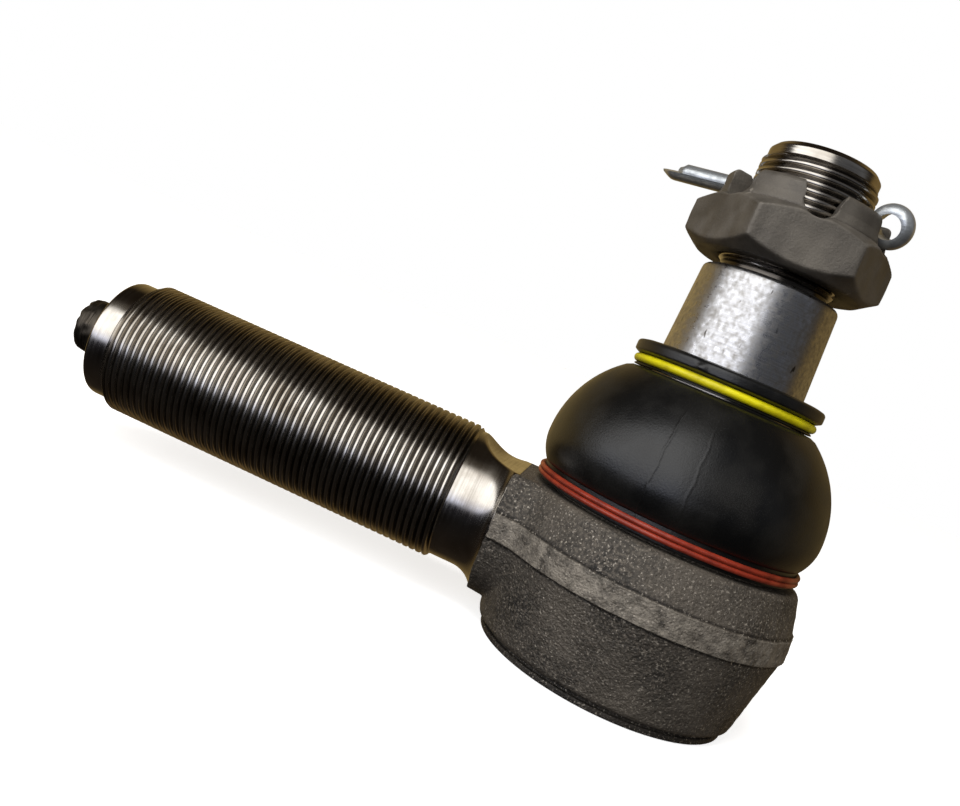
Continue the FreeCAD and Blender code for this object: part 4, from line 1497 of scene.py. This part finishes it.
@dataclass
class Boot:
    """The rubber boot in two parts, its collar, and the two wire rings that hold it."""

    finishes: Finishes
    span: Span = field(default_factory=lambda: Span.of("boot"))
    foot_radius: float = 25.0
    foot_out: float = 27.25
    rim: float = 27.55
    rim_height: float = 14.8
    middle: float = 20.5
    low_arc: float = 9.93
    high_arc: float = 23.45
    wall: float = 2.3
    mouth: float = 16.9
    parting: float = 28.0
    seams: tuple = ((-106.0, 0.09), (-92.0, 0.03), (74.0, 0.09))
    seam_width: float = 0.28
    mouth_depth: float = 1.8

    def angles(self) -> np.ndarray:
        """Return angles once round, packed closer where a mould seam runs.

        Returns:
            The angles in radians, in order.
        """
        close = np.linspace(-2.0, 2.0, 25)
        near = [np.radians(place + close) for place, _ in self.seams]
        return np.unique(np.round(np.concatenate([full_turn(300), *near]), 9))

    def arc(self, heights: np.ndarray, inset: float) -> np.ndarray:
        """Return outline points on the boot's two arcs, which share the widest height.

        Args:
            heights: Heights of the points.
            inset: How far inside the outer wall they lie.

        Returns:
            Points as rows of radius and height.
        """
        low = self.span.radius - self.low_arc
        high = self.span.radius - self.high_arc
        off = heights - self.middle
        lower = low + np.sqrt(np.maximum((self.low_arc - inset) ** 2 - off ** 2, 0.0))
        upper = high + np.sqrt(np.maximum((self.high_arc - inset) ** 2 - off ** 2, 0.0))
        return np.stack([np.where(off < 0.0, lower, upper), heights], axis=1)

    def ridged(self, sheet: Sheet, angles: np.ndarray) -> Sheet:
        """Return the surface with a thin, slightly wavy mould seam raised at each seam's angle.

        Args:
            sheet: The surface.
            angles: The angle of each of its columns.

        Returns:
            The same surface, raised.
        """
        height = sheet.points[..., 2]
        wave = 0.12 * np.sin(height * 1.1) + 0.06 * np.sin(height * 2.9 + 1.0)
        for place, proud in self.seams:
            off = (angles[None, :] - math.radians(place)) * self.span.radius - wave
            lift = proud * np.exp(-((off / self.seam_width) ** 2))
            sheet.points[..., :2] *= (1.0 + lift / self.span.radius)[..., None]
        return sheet

    def lower(self) -> bpy.types.Object:
        """Return the foot and the lower bulge, a closed ring up to the parting height.

        Returns:
            The piece.
        """
        bottom = self.span.bottom
        rise = np.linspace(self.rim_height, self.parting, 40)
        fall = np.linspace(self.parting, self.rim_height + 0.5, 24)
        foot = rounded(
            [
                (self.foot_radius, 15.0),
                (self.foot_radius, bottom, 0.3),
                (self.foot_out, bottom, 0.4),
                (self.foot_out, self.rim_height - 0.2),
                (self.rim, self.rim_height),
            ]
        )
        outline = np.concatenate([foot, self.arc(rise, 0.0)[1:], self.arc(fall, self.wall)])
        outline = np.concatenate([outline, foot[:1]])
        angles = self.angles()
        sheet = self.ridged(turned(subdivided(outline, 0.7), Axis.STUD, angles), angles)
        return piece("boot_lower_wall", [sheet], self.finishes.rubber, Crease.SOFT)

    def upper(self) -> bpy.types.Object:
        """Return the upper bulge, from the parting height to the mouth round the collar.

        Returns:
            The piece.
        """
        top = self.span.top
        rise = np.linspace(self.parting, top - 0.5, 34)
        fall = np.linspace(top - 2.6, self.parting, 24)
        outline = np.concatenate(
            [
                self.arc(rise, 0.0),
                [[self.arc(np.array([top]), 0.0)[0, 0] - 0.5, top], [self.mouth, top]],
                [[self.mouth, top - self.mouth_depth]],
                self.arc(fall, self.wall),
            ]
        )
        outline = np.concatenate([outline, outline[:1]])
        angles = self.angles()
        sheet = self.ridged(turned(subdivided(outline, 0.7), Axis.STUD, angles), angles)
        return piece("boot_upper_wall", [sheet], self.finishes.rubber, Crease.SOFT)

    def build(self) -> None:
        """Make both walls and hide the boot's node."""
        lower, upper = self.lower(), self.upper()
        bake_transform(lower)
        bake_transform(upper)
        for made in (lower, upper):
            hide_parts("boot")


@dataclass
class Collar:
    """The rubber collar on the stud: its wire groove, sealing lip and moulding nub."""

    finishes: Finishes
    span: Span = field(default_factory=lambda: Span.of("boot_collar"))
    bore: float = 15.05
    insert: float = 16.4
    groove: float = 17.65
    nub_angle: float = -111.0
    nub_height: float = 43.4
    nub: tuple[float, float, float] = (0.55, 1.0, 0.8)
    lip_low: float = 2.4
    groove_low: float = 0.4
    insert_step: float = 0.6

    def build(self) -> None:
        """Make the collar: its outline turned about the stud, with a small nub on the lip."""
        low, top, lip = self.span.bottom, self.span.top, self.span.radius
        outline = rounded(
            [
                (self.insert, top - 2.0),
                (self.insert, low),
                (lip - 0.9, low, 0.2),
                (lip - 1.2, low + self.groove_low, 0.2),
                (self.groove, low + self.groove_low),
                (self.groove, low + self.lip_low),
                (lip - 1.0, low + self.lip_low, 0.2),
                (lip, low + 2.95, 0.5),
                (lip, top - 0.35, 0.9),
                (lip - 1.4, top, 0.9),
                (self.bore + 0.5, top, 0.5),
                (self.bore, top - self.insert_step),
                (self.insert, top - self.insert_step),
                (self.insert, top - 2.0),
            ],
            7,
        )
        angles = full_turn(300)
        sheet = turned(subdivided(outline, 0.4), Axis.STUD, angles)
        around = (angles - math.radians(self.nub_angle))[None, :] * lip
        over = sheet.points[..., 2] - self.nub_height
        outer = np.hypot(sheet.points[..., 0], sheet.points[..., 1]) > lip - 1.3
        proud, wide, tall = self.nub
        lift = proud * np.exp(-((around / wide) ** 2) - (over / tall) ** 2) * outer
        sheet.points[..., :2] *= (1.0 + lift / lip)[..., None]
        made = piece("collar_lip", [sheet], self.finishes.rubber, Crease.SOFT)
        settle(made, "boot_head", "boot_rubber", "boot_collar")


@dataclass
class WireRing:
    """A ring of round wire, of one turn or more, its turns laid one on the other."""

    name: str
    body: str
    slot: str
    node: str
    finish: bpy.types.Material
    wire: float
    depth: float
    turns: int
    join: float = 90.0
    laid: float = 0.97
    end_gap: float = 0.035
    step_share: float = 0.06

    def build(self) -> None:
        """Make the ring by carrying a circle round the stud, stepping up where a turn ends."""
        span = Span.of(self.node)
        radius = span.radius - self.depth + self.wire
        middle = (span.bottom + span.top) / 2.0
        rise = 2.0 * self.laid * self.wire
        angle = np.linspace(0.0, 2.0 * math.pi * self.turns - self.end_gap, 260 * self.turns)
        share = angle / (2.0 * math.pi)
        start = 0.5 - self.step_share / 2.0
        step = np.clip((np.mod(share + 0.5, 1.0) - start) / self.step_share, 0.0, 1.0)
        level = np.floor(share + 0.5) - 1.0 + step ** 2 * (3.0 - 2.0 * step)
        level = np.clip(level, 0.0, max(self.turns - 1.0, 0.0))
        height = middle + rise * (level - (self.turns - 1.0) / 2.0)
        place = angle + math.radians(self.join)
        path = Axis.STUD.place(radius + 0.0 * place, place, height)
        sides = Axis.STUD.place(1.0 + 0.0 * place, place, 0.0 * place)
        tops = np.broadcast_to(np.array([0.0, 0.0, 1.0]), path.shape)
        sweep = np.linspace(0.0, 2.0 * math.pi, 21)
        circle = np.stack([np.cos(sweep), np.sin(sweep)], axis=1) * self.wire
        section = np.broadcast_to(circle, (len(path), *circle.shape))
        sheet = swept(path, sides, tops, section)
        made = piece(self.name, [sheet], self.finish, Crease.ROUND)
        settle(made, self.body, self.slot, self.node)


# ------------------------------------------------------------------ inner parts, stage and main


def dress_inner_parts(nodes: dict, finishes: Finishes) -> None:
    """Give each shown node of the frame its own finish.

    Args:
        nodes: The frame's objects by name.
        finishes: The materials.
    """
    chosen = {
        "closing_cover": finishes.turned,
        "cover_seal": finishes.rubber,
        "upper_bearing_shell": finishes.turned,
        "lower_bearing_shell": finishes.turned,
        "ball_liner": finishes.acetal,
        "pressure_ring": finishes.turned,
        "disc_spring": finishes.phosphate,
        "collar_insert": finishes.turned,
    }
    for name, finish in chosen.items():
        slots = nodes[name].material_slots
        if not slots:
            nodes[name].data.materials.append(finish)
        for place in slots:
            place.material = finish
        LOG.info("%s: dressed in %s", name, finish.name)


@dataclass
class Studio:
    """The pale floor, the soft light all round and the camera."""

    floor_gap: float = 0.15
    floor_size: float = 9000.0
    place: tuple[float, float, float] = (-18.88, -195.74, 35.61)
    turn: float = 7.6
    tilt: float = -4.72
    roll: float = 23.22
    lens: float = 35.12
    sensor: float = 36.0
    nearest: float = 0.005
    farthest: float = 20.0
    left_sky: tuple = (
        (0.0, "7E6C45"),
        (0.09, "54462B"),
        (0.16, "1C1712"),
        (0.4, "0C0B0B"),
        (0.465, "1A1A1F"),
        (0.487, "C4CAE0"),
        (0.53, "FFFFFF"),
        (0.64, "FFFFFF"),
        (0.67, "4A453F"),
        (0.72, "1A1510"),
        (0.83, "15110C"),
        (0.89, "54462B"),
        (1.0, "7E6C45"),
    )
    right_sky: tuple = (
        (0.0, "5A4C30"),
        (0.12, "4A3B24"),
        (0.2, "14110E"),
        (0.46, "0A0A0A"),
        (0.5, "2A2B2E"),
        (0.62, "46474A"),
        (0.7, "26231F"),
        (0.8, "14110D"),
        (0.88, "5A4A2C"),
        (1.0, "5A4C30"),
    )
    strength: float = 2.2
    paper: str = "F2F2F2"
    paper_rough: float = 0.9
    paper_glow: float = 0.75
    sky_blend: tuple[float, float] = (-0.08, 0.1)

    def floor(self, lowest: float) -> None:
        """Make the floor just under the object. Gloss and bounced light do not see it.

        Args:
            lowest: Height of the object's lowest point.
        """
        half = self.floor_size / 2.0
        corners = np.array([[-half, -half], [half, -half], [half, half], [-half, half]])
        level = np.full((4, 1), lowest - self.floor_gap)
        mesh = bpy.data.meshes.new("floor")
        mesh.from_pydata((np.hstack([corners, level]) * MM).tolist(), [], [[0, 1, 2, 3]])
        paper = bpy.data.materials.new("pale_paper")
        paper.use_nodes = True
        shader = paper.node_tree.nodes["Principled BSDF"]
        shader.inputs["Base Color"].default_value = linear(self.paper)
        shader.inputs["Roughness"].default_value = self.paper_rough
        shader.inputs["Emission Color"].default_value = linear("FFFFFF")
        shader.inputs["Emission Strength"].default_value = self.paper_glow
        mesh.materials.append(paper)
        made = bpy.data.objects.new("floor", mesh)
        bpy.context.scene.collection.objects.link(made)
        made.visible_glossy = False
        made.visible_diffuse = False

    def light(self) -> None:
        """Make the light: white to the eye, and for the object soft boxes, warm walls and dark.

        Each of two ramps follows the angle about the X axis, from behind and below, through
        below, the front and above, to behind again. One holds on the left and one on the right.
        """
        world = bpy.data.worlds.new("studio")
        bpy.context.scene.world = world
        bpy.context.scene.view_settings.view_transform = "Standard"
        world.use_nodes = True
        tree = world.node_tree
        tree.nodes.clear()
        way = add_node(tree, Kind.DIRECTION)
        left, back, up = (add_node(tree, part, way) for part in (Kind.PART_X, Kind.PART_Y, Kind.PART_Z))
        angle = add_node(tree, Kind.ANGLE, up, add_node(tree, Kind.PRODUCT, back, -1.0))
        share = add_node(tree, Kind.RANGE, angle, -math.pi, math.pi)
        skies = []
        for sky in (self.left_sky, self.right_sky):
            ramp = add_node(tree, Kind.RAMP, share)
            stops = ramp.node.color_ramp.elements
            for _ in sky[2:]:
                stops.new(0.5)
            for stop, (at, code) in zip(stops, sky):
                stop.position = at
                stop.color = linear(code)
            skies.append(ramp)
        side = add_node(tree, Kind.RANGE, left, *self.sky_blend)
        colour = add_node(tree, Kind.MIX, side, *skies)
        studio = add_node(tree, Kind.BACKGROUND, colour, self.strength)
        plain = add_node(tree, Kind.BACKGROUND, linear("FFFFFF"), 1.0)
        mixed = add_node(tree, Kind.EITHER, add_node(tree, Kind.CAMERA_SEES), studio, plain)
        add_node(tree, Kind.WORLD_END, mixed)

    def stand(self, made: bpy.types.Object, place: tuple, columns: np.ndarray) -> None:
        """Put a lamp or the camera in the scene.

        Args:
            made: The lamp or camera.
            place: Its place.
            columns: Its right, up and back directions, one to a column.
        """
        bpy.context.scene.collection.objects.link(made)
        turned_to = Matrix(columns.tolist()).to_4x4()
        turned_to.translation = [part * MM for part in place]
        made.matrix_world = turned_to

    def lamp(self, name: str, place: tuple, aim: tuple, size: float, power: float) -> None:
        """Make one square soft lamp.

        Args:
            name: The lamp's name.
            place: Its place.
            aim: The point that it faces.
            size: Its side.
            power: Its power in watts.
        """
        data = bpy.data.lights.new(name, "AREA")
        data.size = size * MM
        data.energy = power
        made = bpy.data.objects.new(name, data)
        made.visible_glossy = False
        back = np.array(place, float) - np.array(aim, float)
        back /= np.linalg.norm(back)
        side = np.cross([0.0, 0.0, 1.0], back)
        side /= np.linalg.norm(side)
        self.stand(made, place, np.stack([side, np.cross(back, side), back], axis=1))

    def camera(self) -> None:
        """Make the camera and set it as the scene's.

        It looks along +Y, then turns left about Z, tilts up about its own side, and last rolls
        about its line of sight, which turns the view clockwise.
        """
        data = bpy.data.cameras.new("camera")
        data.lens = self.lens
        data.sensor_width = self.sensor
        data.clip_start = self.nearest
        data.clip_end = self.farthest
        made = bpy.data.objects.new("camera", data)
        turn, tilt, roll = (math.radians(part) for part in (self.turn, self.tilt, self.roll))
        side = np.array([math.cos(turn), math.sin(turn), 0.0])
        level = np.array([-math.sin(turn), math.cos(turn), 0.0])
        ahead = level * math.cos(tilt) + np.array([0.0, 0.0, math.sin(tilt)])
        up = np.cross(side, ahead)
        right = side * math.cos(roll) + up * math.sin(roll)
        self.stand(made, self.place, np.stack([right, np.cross(right, ahead), -ahead], axis=1))
        bpy.context.scene.camera = made

    def build(self, lowest: float) -> None:
        """Make the floor, the light and the camera.

        Args:
            lowest: Height of the object's lowest point.
        """
        self.floor(lowest)
        self.light()
        self.lamp("key", (-120.0, -260.0, 420.0), (-20.0, 0.0, 20.0), size=260.0, power=2.0)
        self.lamp("fill", (260.0, -330.0, 120.0), (0.0, 0.0, 20.0), size=200.0, power=0.5)
        self.camera()


def main() -> None:
    """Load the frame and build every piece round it."""
    logging.basicConfig(level=logging.INFO, format="%(name)s: %(message)s")
    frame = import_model()
    finishes = Finishes()
    line = PinLine()
    Studio().build(Span.of("housing").bottom)
    Housing(finishes).build()
    BallStud(finishes, line).build()
    CastleNut(finishes, line).build()
    SplitPin(finishes, line).build()
    Boot(finishes).build()
    Collar(finishes).build()
    for ring in (
        WireRing(
            name="red_wire_ring",
            body="housing",
            slot="red_ring",
            node="lower_clamp_ring",
            finish=finishes.red,
            wire=0.54,
            depth=1.4,
            turns=2,
        ),
        WireRing(
            name="yellow_wire_ring",
            body="boot_head",
            slot="yellow_ring",
            node="upper_clamp_ring",
            finish=finishes.yellow,
            wire=0.9,
            depth=1.8,
            turns=1,
        ),
    ):
        ring.build()
    dress_inner_parts(frame["nodes"], finishes)
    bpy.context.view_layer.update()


if __name__ == "__main__":
    main()
